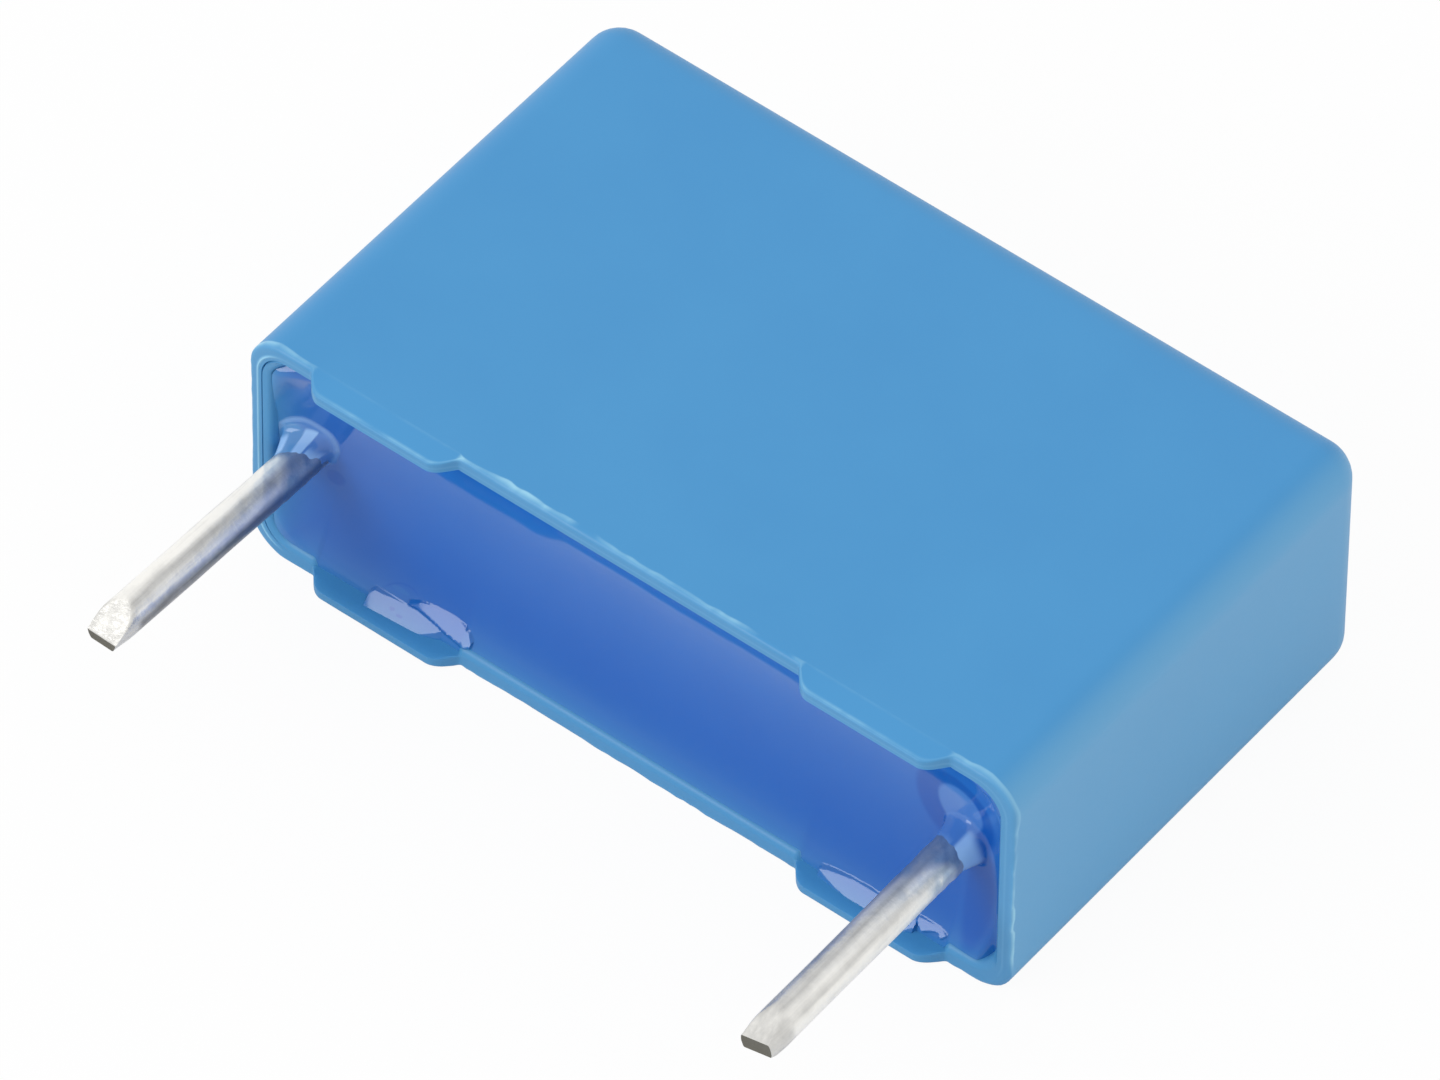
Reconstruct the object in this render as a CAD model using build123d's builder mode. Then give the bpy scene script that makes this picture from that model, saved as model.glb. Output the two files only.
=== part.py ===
from build123d import *
from math import radians, tan
import os

# Box-type film capacitor for circuit boards, lying on one of its broad faces.
# X runs along the case from one lead to the other, Y from the lead side (-Y) to the closed
# top of the case (+Y), and Z is the case's thickness.  The origin is the centre of the broad
# face that the part lies on.  Lengths are millimetres, angles are degrees.

# ---- leads -------------------------------------------------------------------------------
lead_pitch = 15.0            # centre to centre, where the leads leave the resin
lead_diameter = 0.8
left_lead_length = 5.0       # beyond the stand-off feet
right_lead_length = 5.15
lead_bend_radius = 2.0       # where a lead starts to lean outwards
left_lead_lean = 1.8         # outward lean of each free lead
right_lead_lean = 0.6

# ---- moulded case ------------------------------------------------------------------------
body_height = 10.55          # rim to closed top, without the feet
body_thickness = 5.75
end_draft = 0.33             # the outer end faces lean inwards towards the closed top
end_wall = 0.5               # the two small end walls, at the rim
side_wall = 0.5              # the two broad walls, at the rim
top_wall = 0.6               # the closed top
wall_draft = 0.3             # and so do the inner faces
corner_radius = 0.75         # outer edges that run along Y
top_edge_radius = 0.7        # outer edges round the closed top
rim_edge_radius = 0.1        # outer edge of the rim
inner_corner_radius = 0.45
inner_top_radius = 0.3
mouth_chamfer = 0.2          # lead-in round the open mouth, measured across the rim
mouth_chamfer_depth = 0.25

# ---- stand-off feet, two on each broad wall ----------------------------------------------
foot_height = 0.4
foot_length = 3.45           # along the wall, at the root
foot_end_run = 0.33          # how far each sloped end runs back
foot_inset = 1.45            # from the end of the case to the root of a foot
foot_outer_taper = 0.06      # the outer face leans in by this much over the foot's height
foot_corner_radius = 0.25

# ---- potting resin -----------------------------------------------------------------------
meniscus_rise = 0.3          # climb of the resin up the walls, to the mouth chamfer
feather_edge = 0.02          # thickness that the resin thins out to
collar_radius = 0.42         # concave climb of the resin up a wire
left_lead_gap = 0.17         # resin between the left wire and its end wall, at the rim
right_lead_gap = 0.63

# ---- film element ------------------------------------------------------------------------
winding_side_gap = 0.25      # resin between the winding and each broad wall, at the rim
winding_top_gap = 0.45       # resin between the winding and the closed top
winding_cover = 0.75         # resin over the winding on the lead side
contact_thickness = 0.4      # sprayed metal on each end of the winding
weld_depth = 0.1             # how far a wire sinks into the sprayed metal
weld_length = 5.2            # length of wire that lies along the end contact

# ---- side-cutter marks on the lead tips --------------------------------------------------
# The cutter pinches the wire to a narrow end face, with a facet above it and one below.
left_tip_thickness = 0.19
left_tip_height = -0.155     # middle of the end face, from the wire's centre line
left_tip_roll = 0.0          # turn of the cut about the wire
right_tip_thickness = 0.3
right_tip_height = 0.0
right_tip_roll = 13.0
upper_facet_run = 0.75       # length of the facets along the wire
lower_facet_run = 0.4

# ---- values that follow from the sizes above ---------------------------------------------
wire_radius = lead_diameter / 2
body_length = lead_pitch + lead_diameter + left_lead_gap + right_lead_gap + 2 * end_wall
closed_length = body_length - 2 * body_height * tan(radians(end_draft))
rim_y = -body_height / 2
closed_y = body_height / 2
cavity_end_y = closed_y - top_wall
cavity_length = body_length - 2 * end_wall
cavity_thickness = body_thickness - 2 * side_wall
middle_z = body_thickness / 2
resin_edge_y = rim_y + mouth_chamfer_depth
resin_y = resin_edge_y + meniscus_rise

left_x = -body_length / 2 + end_wall + left_lead_gap + wire_radius
right_x = left_x + lead_pitch
winding_x = (left_x + right_x) / 2
winding_start_y = resin_y + winding_cover
winding_end_y = cavity_end_y - winding_top_gap
winding_thickness = cavity_thickness - 2 * winding_side_gap
contact_face_offset = lead_pitch / 2 - wire_radius + weld_depth
winding_length = 2 * (contact_face_offset - contact_thickness)

foot_x = body_length / 2 - foot_inset - foot_length / 2
foot_front_y = rim_y - foot_height
foot_places = [(x, side) for x in (-foot_x, foot_x) for side in (-1, 1)]


def rounded_section(y, length, thickness, radius):
    """Rounded rectangle across the case at y, centred on the case."""
    with BuildSketch(Plane.XZ.offset(-y)) as section:
        with Locations((0, middle_z)):
            RectangleRounded(length, thickness, radius)
    return section.sketch


def cavity_section(y, inset=0.0):
    """Outline of the drafted cavity at y, drawn in by inset on every side."""
    reduction = (y - rim_y) * tan(radians(wall_draft)) + inset
    return rounded_section(
        y,
        cavity_length - 2 * reduction,
        cavity_thickness - 2 * reduction,
        inner_corner_radius - inset,
    )


def foot_section(y, length, taper, x, side):
    """Rectangle of one foot at y.  side is -1 on the lower wall and +1 on the upper one."""
    thickness = side_wall - mouth_chamfer - taper
    z = middle_z + side * (body_thickness / 2 - taper - thickness / 2)
    with BuildSketch(Plane.XZ.offset(-y)) as section:
        with Locations((x, z)):
            Rectangle(length, thickness)
    return section.sketch


# ---- case: one moulding, open on the lead side -------------------------------------------
with BuildPart() as case:
    loft(
        [
            rounded_section(rim_y, body_length, body_thickness, corner_radius),
            rounded_section(closed_y, closed_length, body_thickness, corner_radius),
        ],
        ruled=True,
    )
    fillet(case.faces().sort_by(Axis.Y)[-1].edges(), top_edge_radius)
    fillet(case.faces().sort_by(Axis.Y)[0].edges(), rim_edge_radius)
    loft(
        [cavity_section(rim_y), cavity_section(cavity_end_y)],
        ruled=True,
        mode=Mode.SUBTRACT,
    )
    cavity_floor = case.faces().filter_by(Axis.Y).sort_by(Axis.Y)[-2]
    fillet(cavity_floor.edges(), inner_top_radius)
    loft(
        [cavity_section(rim_y, -mouth_chamfer), cavity_section(resin_edge_y)],
        ruled=True,
        mode=Mode.SUBTRACT,
    )
    for x, side in foot_places:
        loft(
            [
                foot_section(rim_y + rim_edge_radius, foot_length, 0, x, side),
                foot_section(rim_y, foot_length, 0, x, side),
                foot_section(foot_front_y, foot_length - 2 * foot_end_run, foot_outer_taper, x, side),
            ],
            ruled=True,
        )
    foot_fronts = case.faces().filter_by(Axis.Y).group_by(Axis.Y)[0]
    fillet(foot_fronts.edges().filter_by(Axis.Z), foot_corner_radius)
case.part.label = "case"


# ---- leads: one wire each, straight as far as the feet's front, then leaning outwards ----
def wire_path(x, length, lean, side):
    """Centre line of a lead, from its inner end to its tip."""
    spread = side * length * tan(radians(lean))
    with BuildLine() as path:
        FilletPolyline(
            (x, winding_start_y + weld_length, middle_z),
            (x, foot_front_y, middle_z),
            (x + spread, foot_front_y - length, middle_z),
            radius=lead_bend_radius,
        )
    return path.line


def cutter_plane(path, roll):
    """Plane at a wire's tip: its x runs back along the wire, its y across it."""
    back = -(path % 1)
    across = Vector(0, 0, 1).rotate(Axis((0, 0, 0), back), roll)
    return Plane(origin=path @ 1, x_dir=back, z_dir=back.cross(across))


def lead_wire(path, tip_thickness, tip_height, roll):
    """One lead with the facets of the side cutter on its tip."""
    end_face = (tip_height + tip_thickness / 2, -tip_height + tip_thickness / 2)
    with BuildPart() as wire:
        with BuildSketch(Plane(origin=path @ 0, z_dir=path % 0)):
            Circle(wire_radius)
        sweep(path=path)
        with BuildSketch(cutter_plane(path, roll)):
            for way, start, run in zip((1, -1), end_face, (upper_facet_run, lower_facet_run)):
                slope = (wire_radius - start) / run
                overshoot = wire_radius / slope
                Polygon(
                    (-wire_radius, way * (start - slope * wire_radius)),
                    (run + overshoot, way * lead_diameter),
                    (-wire_radius, way * lead_diameter),
                    align=None,
                )
        extrude(amount=lead_diameter, both=True, mode=Mode.SUBTRACT)
    return wire.part


left_path = wire_path(left_x, left_lead_length, left_lead_lean, -1)
lead_left = lead_wire(left_path, left_tip_thickness, left_tip_height, left_tip_roll)
lead_left.label = "lead_left"
right_path = wire_path(right_x, right_lead_length, right_lead_lean, 1)
lead_right = lead_wire(right_path, right_tip_thickness, right_tip_height, right_tip_roll)
lead_right.label = "lead_right"


# ---- film element: flattened winding with sprayed metal on both ends ---------------------
def winding_section(x):
    """Section of the flattened roll at x, across its winding axis."""
    with BuildSketch(Plane.YZ.offset(x)) as section:
        with Locations(((winding_start_y + winding_end_y) / 2, middle_z)):
            SlotOverall(winding_end_y - winding_start_y, winding_thickness)
    return section.sketch


with BuildPart() as film_winding:
    extrude(winding_section(winding_x - winding_length / 2), amount=winding_length)
film_winding.part.label = "film_winding"

with BuildPart() as end_contact_left:
    extrude(winding_section(winding_x - winding_length / 2), amount=-contact_thickness)
    add(lead_left, mode=Mode.SUBTRACT)
end_contact_left.part.label = "end_contact_left"

with BuildPart() as end_contact_right:
    extrude(winding_section(winding_x + winding_length / 2), amount=contact_thickness)
    add(lead_right, mode=Mode.SUBTRACT)
end_contact_right.part.label = "end_contact_right"

# ---- potting resin: fills the case round the film element --------------------------------
film_element = [
    film_winding.part,
    end_contact_left.part,
    end_contact_right.part,
    lead_left,
    lead_right,
]

with BuildPart() as resin_fill:
    # a block that reaches halfway into the case's walls, to be trimmed by the case itself
    block_length = body_length - end_wall
    block_thickness = body_thickness - side_wall
    extrude(
        rounded_section(resin_edge_y, block_length, block_thickness, corner_radius),
        amount=-(cavity_end_y + top_wall / 2 - resin_edge_y),
    )
    extrude(cavity_section(resin_edge_y, feather_edge), amount=-meniscus_rise, mode=Mode.SUBTRACT)
    surface = resin_fill.faces().filter_by(Axis.Y).sort_by(Axis.Y)[1]
    fillet(surface.edges(), min(meniscus_rise, inner_corner_radius) - 2 * feather_edge)
    for x in (left_x, right_x):
        with BuildSketch(Plane.XY.offset(middle_z)):
            with BuildLine():
                crest = (x + wire_radius + feather_edge, resin_y - collar_radius)
                climb = JernArc(crest, (0, 1), collar_radius, -90)
                Polyline(
                    climb @ 1,
                    ((climb @ 1).X, resin_y + meniscus_rise),
                    (x, resin_y + meniscus_rise),
                    (x, crest[1]),
                    crest,
                )
            make_face()
        revolve(axis=Axis((x, 0, middle_z), (0, 1, 0)))
    add(case.part, mode=Mode.SUBTRACT)
    add(film_element, mode=Mode.SUBTRACT)
resin_fill.part.label = "resin_fill"

# ---- export ------------------------------------------------------------------------------
os.makedirs("parts", exist_ok=True)
for piece in (case.part, resin_fill.part, *film_element):
    export_step(piece, f"parts/{piece.label}.step")
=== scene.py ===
import logging
from dataclasses import dataclass, field
from enum import Enum
from math import cos, hypot, pi, radians, sin, tan
from typing import Any, Sequence

import bpy
import numpy as np
from mathutils import Matrix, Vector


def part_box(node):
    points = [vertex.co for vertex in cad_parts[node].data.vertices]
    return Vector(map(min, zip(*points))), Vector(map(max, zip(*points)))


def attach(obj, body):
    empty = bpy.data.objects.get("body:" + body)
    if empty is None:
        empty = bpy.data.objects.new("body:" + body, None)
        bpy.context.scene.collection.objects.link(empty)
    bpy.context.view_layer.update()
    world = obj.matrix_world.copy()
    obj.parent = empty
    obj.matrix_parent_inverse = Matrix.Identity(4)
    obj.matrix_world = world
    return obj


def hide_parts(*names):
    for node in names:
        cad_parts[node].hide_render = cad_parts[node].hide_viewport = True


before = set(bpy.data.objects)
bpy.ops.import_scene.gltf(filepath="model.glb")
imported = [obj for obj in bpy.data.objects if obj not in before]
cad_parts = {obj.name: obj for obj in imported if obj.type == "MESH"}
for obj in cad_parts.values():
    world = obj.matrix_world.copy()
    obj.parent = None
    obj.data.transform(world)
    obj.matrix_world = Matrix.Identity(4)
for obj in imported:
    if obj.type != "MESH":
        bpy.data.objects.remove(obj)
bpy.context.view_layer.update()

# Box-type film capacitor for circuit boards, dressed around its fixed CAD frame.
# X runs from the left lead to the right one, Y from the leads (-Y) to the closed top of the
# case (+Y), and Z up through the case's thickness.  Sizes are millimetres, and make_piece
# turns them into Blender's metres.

Array = np.ndarray
Colour = tuple[float, float, float]
Faces = list[list[int]]
Level = Array | float

MM = 0.001
BODY = "root"
WAVE_KNOTS = 4096
NET_KNOTS = 256
log = logging.getLogger("film_capacitor")


# ---- curves and waves that the surfaces share --------------------------------------------


def ease(share: Array) -> Array:
    """3t^2 - 2t^3 of a share t, which leaves 0 and reaches 1 level."""
    return share * share * (3 - 2 * share)


def smooth_step(low: float, high: float, value: Array) -> Array:
    """0 below low, 1 above high, and eased between them.

    Args:
        low: Where the step starts; it may be above high, and the step then falls.
        high: Where the step ends.
        value: Places to work it out at.

    Returns:
        The step's height at each place.
    """
    return ease(np.clip((np.asarray(value, float) - low) / (high - low), 0, 1))


def soft_min(first: Array, second: Array, blend: float) -> Array:
    """Lesser of two values, with the corner between them rounded over a width of blend.

    Formula: the two are mixed by h, which goes from 0 to 1 as they cross, less blend h (1 - h).

    Args:
        first: One set of values.
        second: The other set.
        blend: How far apart the two are where the rounding starts.

    Returns:
        The rounded minimum.
    """
    share = np.clip(0.5 + 0.5 * (second - first) / blend, 0, 1)
    return second * (1 - share) + first * share - blend * share * (1 - share)


def wave(place: Array, pitch: float, seed: int) -> Array:
    """Random wave from -1 to 1: random heights a pitch apart, joined by smooth steps.

    Args:
        place: Distance along the wave, in millimetres.
        pitch: Distance between two of the random heights.
        seed: Which wave it is.

    Returns:
        Height of the wave at each place.
    """
    heights = np.random.default_rng(seed).uniform(-1, 1, WAVE_KNOTS)
    steps = np.asarray(place, float) / pitch + WAVE_KNOTS // 2
    whole = np.floor(steps).astype(int)
    share = ease(steps - whole)
    return heights[whole % WAVE_KNOTS] * (1 - share) + heights[(whole + 1) % WAVE_KNOTS] * share


def ripple(first: Array, second: Array, pitch: float, seed: int) -> Array:
    """Random relief from -1 to 1: random heights on a square net, joined by smooth steps.

    Args:
        first: Places along the net's first direction, in millimetres.
        second: Places along its second direction.
        pitch: Distance between two knots of the net.
        seed: Which relief it is.

    Returns:
        Height of the relief at each place.
    """
    heights = np.random.default_rng(seed).uniform(-1, 1, (NET_KNOTS, NET_KNOTS))
    middle = NET_KNOTS // 2
    one, two = np.broadcast_arrays(
        np.asarray(first, float) / pitch + middle, second / pitch + middle
    )
    i, j = np.floor(one).astype(int), np.floor(two).astype(int)
    s, t = ease(one - i), ease(two - j)
    i, j, i1, j1 = (k % NET_KNOTS for k in (i, j, i + 1, j + 1))
    near = heights[i, j] * (1 - s) + heights[i1, j] * s
    far = heights[i, j1] * (1 - s) + heights[i1, j1] * s
    return near * (1 - t) + far * t


# ---- faces of grids and of closed shells -------------------------------------------------


def net_faces(rows: int, columns: int, closed: bool, first: int = 0) -> Faces:
    """Four-sided faces between neighbouring rows and columns of points.

    Args:
        rows: Number of rows.
        columns: Number of points in a row.
        closed: Whether the last column joins the first one.
        first: Number of the net's first point.

    Returns:
        The point numbers of each face.
    """
    row, column = np.meshgrid(
        np.arange(rows - 1), np.arange(columns if closed else columns - 1), indexing="ij"
    )
    beside = (column + 1) % columns
    corners = (
        row * columns + column,
        row * columns + beside,
        (row + 1) * columns + beside,
        (row + 1) * columns + column,
    )
    return (np.stack([c.ravel() for c in corners], 1) + first).tolist()


def end_faces(columns: int, first: int, turned: bool) -> Faces:
    """Faces that close a ring by joining each point to its mirror point across the ring.

    Point k of the ring has its mirror at columns - k, so points 0 and columns / 2 stand on the
    mirror line and close with a triangle each.

    Args:
        columns: Number of points in the ring, an even number.
        first: Number of the ring's first point.
        turned: Whether the faces look along -Y, not +Y.

    Returns:
        The point numbers of each face.
    """
    half = columns // 2
    k = np.arange(1, half - 1)
    strips = np.stack([k, k + 1, columns - k - 1, columns - k], 1) + first
    tips = np.array([[0, 1, columns - 1], [half - 1, half, half + 1]]) + first
    if not turned:
        strips, tips = strips[:, ::-1], tips[:, ::-1]
    return strips.tolist() + tips.tolist()


def tube_faces(rows: int, columns: int) -> Faces:
    """Faces of a closed tube: its net, and an end on the first ring and on the last."""
    ends = end_faces(columns, 0, False) + end_faces(columns, (rows - 1) * columns, True)
    return net_faces(rows, columns, True) + ends


def keep_crisp(mesh: bpy.types.Mesh, line: Array) -> None:
    """Marks the edges whose two ends are both on a line as sharp.

    Args:
        mesh: The mesh.
        line: Numbers of the points on the line.
    """
    ends = np.zeros(2 * len(mesh.edges), np.int32)
    mesh.edges.foreach_get("vertices", ends)
    on_line = np.zeros(len(mesh.vertices), bool)
    on_line[line] = True
    sharp = np.zeros(len(mesh.edges), bool)
    mesh.edges.foreach_get("use_edge_sharp", sharp)
    mesh.edges.foreach_set("use_edge_sharp", sharp | on_line[ends.reshape(-1, 2)].all(1))


def make_piece(
    name: str,
    points: Array,
    faces: Faces,
    finish: "Finish",
    sharp_deg: float,
    marks: dict[str, Array] | None = None,
    crisp: Array | None = None,
) -> bpy.types.Object:
    """Puts points and faces into a new object at the origin, in its finish.

    Args:
        name: Name of the piece.
        points: Its points in millimetres, one row each.
        faces: Point numbers of each face, anticlockwise from the side that it looks to.
        finish: What it is covered with.
        sharp_deg: Edges that turn by more than this stay crisp.
        marks: Named numbers for each point, which the finish may read.
        crisp: Numbers of points on a line whose edges all stay crisp.

    Returns:
        The new object, which rides on the part's body.
    """
    mesh = bpy.data.meshes.new(name)
    mesh.from_pydata((np.asarray(points, float) * MM).tolist(), [], faces)
    mesh.shade_smooth()
    mesh.set_sharp_from_angle(angle=radians(sharp_deg))
    if crisp is not None:
        keep_crisp(mesh, crisp)
    for mark, values in (marks or {}).items():
        attribute = mesh.attributes.new(mark, "FLOAT", "POINT")
        attribute.data.foreach_set("value", np.asarray(values, np.float32).ravel())
    mesh.materials.append(finish.material())
    piece = bpy.data.objects.new(name, mesh)
    bpy.context.scene.collection.objects.link(piece)
    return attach(piece, BODY)


# ---- shader maths ------------------------------------------------------------------------


class Value:
    """A number that varies over a surface, on which Python's operators add Math nodes."""

    def __init__(self, shader: "Shader", socket: bpy.types.NodeSocket) -> None:
        """Wraps one output socket of the shader's nodes."""
        self.shader = shader
        self.socket = socket

    def math(self, operation: str, *others: "Value | float") -> "Value":
        """Adds one Math node that starts from this value.

        Args:
            operation: Name of the Math node's operation.
            others: Its further inputs.

        Returns:
            The node's result.
        """
        inputs = dict(enumerate((self, *others)))
        return self.shader.value("ShaderNodeMath", {"operation": operation}, inputs)

    def swapped(self, operation: str, other: "Value | float") -> "Value":
        """Adds one Math node that starts from the other value.

        Args:
            operation: Name of the Math node's operation.
            other: What stands first.

        Returns:
            The node's result.
        """
        inputs = {0: other, 1: self}
        return self.shader.value("ShaderNodeMath", {"operation": operation}, inputs)

    def __add__(self, other: "Value | float") -> "Value":
        """Sum of the two."""
        return self.math("ADD", other)

    __radd__ = __add__

    def __sub__(self, other: "Value | float") -> "Value":
        """This less the other."""
        return self.math("SUBTRACT", other)

    def __rsub__(self, other: "Value | float") -> "Value":
        """The other less this."""
        return self.swapped("SUBTRACT", other)

    def __mul__(self, other: "Value | float") -> "Value":
        """Product of the two."""
        return self.math("MULTIPLY", other)

    __rmul__ = __mul__

    def __truediv__(self, other: "Value | float") -> "Value":
        """This over the other."""
        return self.math("DIVIDE", other)

    def __rtruediv__(self, other: "Value | float") -> "Value":
        """The other over this."""
        return self.swapped("DIVIDE", other)

    def clamped(self) -> "Value":
        """This, held between 0 and 1."""
        return self.math("MAXIMUM", 0.0).math("MINIMUM", 1.0)


class Shader:
    """A tree of shader nodes that is put together by Python expressions."""

    def __init__(self, tree: bpy.types.NodeTree) -> None:
        """Starts with an empty tree."""
        self.tree = tree
        tree.nodes.clear()

    def node(
        self,
        kind: str,
        settings: dict[str, Any] | None = None,
        inputs: dict[str | int, Any] | None = None,
    ) -> bpy.types.Node:
        """Adds a node.

        Args:
            kind: Blender's name of the node's type.
            settings: Its properties.
            inputs: A plain value, a Value or an output socket for each named input.

        Returns:
            The new node.
        """
        node = self.tree.nodes.new(kind)
        for key, setting in (settings or {}).items():
            setattr(node, key, setting)
        for key, given in (inputs or {}).items():
            source = given.socket if isinstance(given, Value) else given
            if isinstance(source, bpy.types.NodeSocket):
                self.tree.links.new(source, node.inputs[key])
            else:
                node.inputs[key].default_value = source
        return node

    def value(
        self,
        kind: str,
        settings: dict[str, Any] | None = None,
        inputs: dict[str | int, Any] | None = None,
        output: str | int = 0,
    ) -> Value:
        """Adds a node, as node() does, and wraps one of its outputs.

        Args:
            kind: Blender's name of the node's type.
            settings: Its properties.
            inputs: What its inputs take.
            output: Which output to wrap.

        Returns:
            The wrapped output.
        """
        return Value(self, self.node(kind, settings, inputs).outputs[output])

    def place(self, scale: Sequence[float] = (1, 1, 1)) -> Value:
        """Place on the object in millimetres, stretched by a Mapping node.

        Args:
            scale: Factor along each axis.

        Returns:
            The place, as a vector.
        """
        coordinates = self.value("ShaderNodeTexCoord", output="Object")
        factors = tuple(s / MM for s in scale)
        return self.value("ShaderNodeMapping", {}, {"Vector": coordinates, "Scale": factors})

    def axes(self) -> tuple[Value, Value, Value]:
        """Place on the object in millimetres, as three numbers."""
        split = self.node("ShaderNodeSeparateXYZ", {}, {"Vector": self.place()})
        x, y, z = (Value(self, split.outputs[k]) for k in range(3))
        return x, y, z

    def noise(self, place: Value, pitch: float, detail: float = 2.0, rough: float = 0.5) -> Value:
        """Soft random pattern around 0.5.

        Args:
            place: Where on the object it is read.
            pitch: Size of its largest patches, in millimetres.
            detail: How many finer layers it has.
            rough: Strength of each finer layer against the one above.

        Returns:
            The pattern, from about 0 to 1.
        """
        inputs = {"Vector": place, "Scale": 1 / pitch, "Detail": detail, "Roughness": rough}
        return self.value("ShaderNodeTexNoise", {}, inputs, "Fac")

    def mark(self, name: str) -> Value:
        """A named number that the piece's mesh holds for each point."""
        return self.value("ShaderNodeAttribute", {"attribute_name": name}, output="Fac")

    def mix(self, share: "Value | float", first: Any, second: Any) -> Value:
        """Blend of two colours.

        Args:
            share: 0 gives the first colour, 1 the second.
            first: A colour or a wrapped socket.
            second: A colour or a wrapped socket.

        Returns:
            The blended colour.
        """
        pair = [c if isinstance(c, Value) else (*c, 1.0) for c in (first, second)]
        settings = {"data_type": "RGBA", "clamp_factor": True}
        return self.value("ShaderNodeMix", settings, {0: share, 6: pair[0], 7: pair[1]}, 2)

    def bump(self, height: Value, depth: float) -> Value:
        """Normal of a fine relief.

        Args:
            height: The relief's pattern, from 0 to 1.
            depth: Height of a full step of it, in millimetres.

        Returns:
            The bent normal.
        """
        inputs = {"Height": height, "Distance": depth * MM, "Strength": 1.0}
        return self.value("ShaderNodeBump", {}, inputs)

    def surface(self, inputs: dict[str, Any]) -> None:
        """Ends the tree with one Principled shader and the output."""
        shader = self.value("ShaderNodeBsdfPrincipled", {}, inputs)
        self.node("ShaderNodeOutputMaterial", {}, {"Surface": shader})


# ---- finishes ----------------------------------------------------------------------------


@dataclass(frozen=True)
class Finish:
    """What a piece is covered with."""

    name: str

    def material(self) -> bpy.types.Material:
        """The finish as a material, made once.

        Returns:
            The material, the same one each time.
        """
        known = bpy.data.materials.get(self.name)
        if known:
            return known
        material = bpy.data.materials.new(self.name)
        material.use_nodes = True
        self.build(Shader(material.node_tree))
        return material

    def build(self, shader: Shader) -> None:
        """Puts the finish's nodes into the shader."""
        raise NotImplementedError


@dataclass(frozen=True)
class CasePlastic(Finish):
    """Light blue moulded plastic, semi-gloss, paler on its flash, with painted highlights along the
    rim's edges, a painted sheen on the right end and painted shade on the rim.
    """

    name: str = "case_plastic_moulded"
    colour: Colour = (0.062, 0.297, 0.596)
    deep: Colour = (0.056, 0.280, 0.578)
    # pale flash, partly painted highlight along the rim's edges and the raised line, and painted
    # sheen on the right end
    flash_and_painted_sheen: Colour = (0.290, 0.600, 0.800)
    # painted shade on the rim's land, rounded edge and chamfer
    painted_rim_shade: Colour = (0.066, 0.265, 0.510)
    roughness: float = 0.38
    shine: float = 0.36
    cloud_pitch: float = 3.2
    grain_pitch: float = 0.09
    sag_pitch: float = 1.4
    relief: float = 0.004

    def build(self, shader: Shader) -> None:
        """Cloudy colour, painted shade on the rim, pale flash with painted highlights and a painted
        sheen on the right end, and a faint mould grain.

        Args:
            shader: The tree that takes the nodes.
        """
        place = shader.place()
        cloud = shader.noise(place, self.cloud_pitch, 3.0, 0.55)
        colour = shader.mix((cloud - 0.35) * 2.2, self.deep, self.colour)
        # painted shade on the rim's land, rounded edge and chamfer
        colour = shader.mix(shader.mark("rim"), colour, self.painted_rim_shade)
        # pale flash, with painted highlights along the rim's edges and the raised line, and painted
        # sheen on the right end
        colour = shader.mix(shader.mark("flash"), colour, self.flash_and_painted_sheen)
        grain = shader.noise(place, self.grain_pitch, 3.0, 0.6)
        sag = shader.noise(place, self.sag_pitch, 1.0)
        shader.surface(
            {
                "Base Color": colour,
                "Roughness": self.roughness + (cloud - 0.5) * 0.12 + (grain - 0.5) * 0.08,
                "IOR": 1.5,
                "Specular IOR Level": self.shine,
                "Normal": shader.bump(grain * 0.4 + sag, self.relief),
            }
        )


@dataclass(frozen=True)
class CastResin(Finish):
    """Dark blue glossy potting resin, paler where it thins out over the case, with a painted sheen
    upwards, painted shade in dark patches and painted highlights at the wires.
    """

    name: str = "potting_resin_cast"
    # painted sheen: the resin runs from low to high colour upwards
    low: Colour = (0.003, 0.093, 0.428)
    high: Colour = (0.014, 0.138, 0.510)
    dull: Colour = (0.022, 0.108, 0.420)
    # resin film at the walls, in the case's colour in shade: partly painted shade
    film: Colour = (0.045, 0.240, 0.500)
    # painted highlight colour at the wires and in the lens patch
    skin: Colour = (0.310, 0.530, 0.850)
    # painted shade colour of the dark patches and lines
    deep: Colour = (0.000, 0.082, 0.410)
    roughness: float = 0.07
    cloud_pitch: float = 2.0
    sag_pitch: float = 0.8
    relief: float = 0.003
    painted_sheen_from: float = 0.9
    painted_sheen_over: float = 3.4
    dull_from: float = -5.0
    dull_over: float = 3.5

    def build(self, shader: Shader) -> None:
        """Painted sheen lighter towards the top, a soft change towards the left, a resin film at the
        walls in the case's shaded colour, painted shade in dark patches and lines, and painted
        highlights at the wires.

        Args:
            shader: The tree that takes the nodes.
        """
        place = shader.place()
        cloud = shader.noise(place, self.cloud_pitch, 2.0)
        x, _, z = shader.axes()
        # painted sheen, lighter towards the top
        upper = ((z - self.painted_sheen_from) / self.painted_sheen_over + (cloud - 0.5) * 0.4).clamped()
        colour = shader.mix(upper, self.low, self.high)
        leftward = ((self.dull_from - x) / self.dull_over + (cloud - 0.5) * 0.6).clamped()
        colour = shader.mix(leftward, colour, self.dull)
        # resin film at the walls, partly painted shade
        colour = shader.mix(shader.mark("film"), colour, self.film)
        # painted shade: dark patches and lines
        colour = shader.mix(shader.mark("deep"), colour, self.deep)
        # painted highlights round the wires
        colour = shader.mix(shader.mark("skin"), colour, self.skin)
        slow = shader.noise(place, self.sag_pitch, 1.0)
        shader.surface(
            {
                "Base Color": colour,
                "Roughness": self.roughness + (cloud - 0.5) * 0.05,
                "IOR": 1.5,
                "Normal": shader.bump(slow, self.relief),
            }
        )


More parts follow.
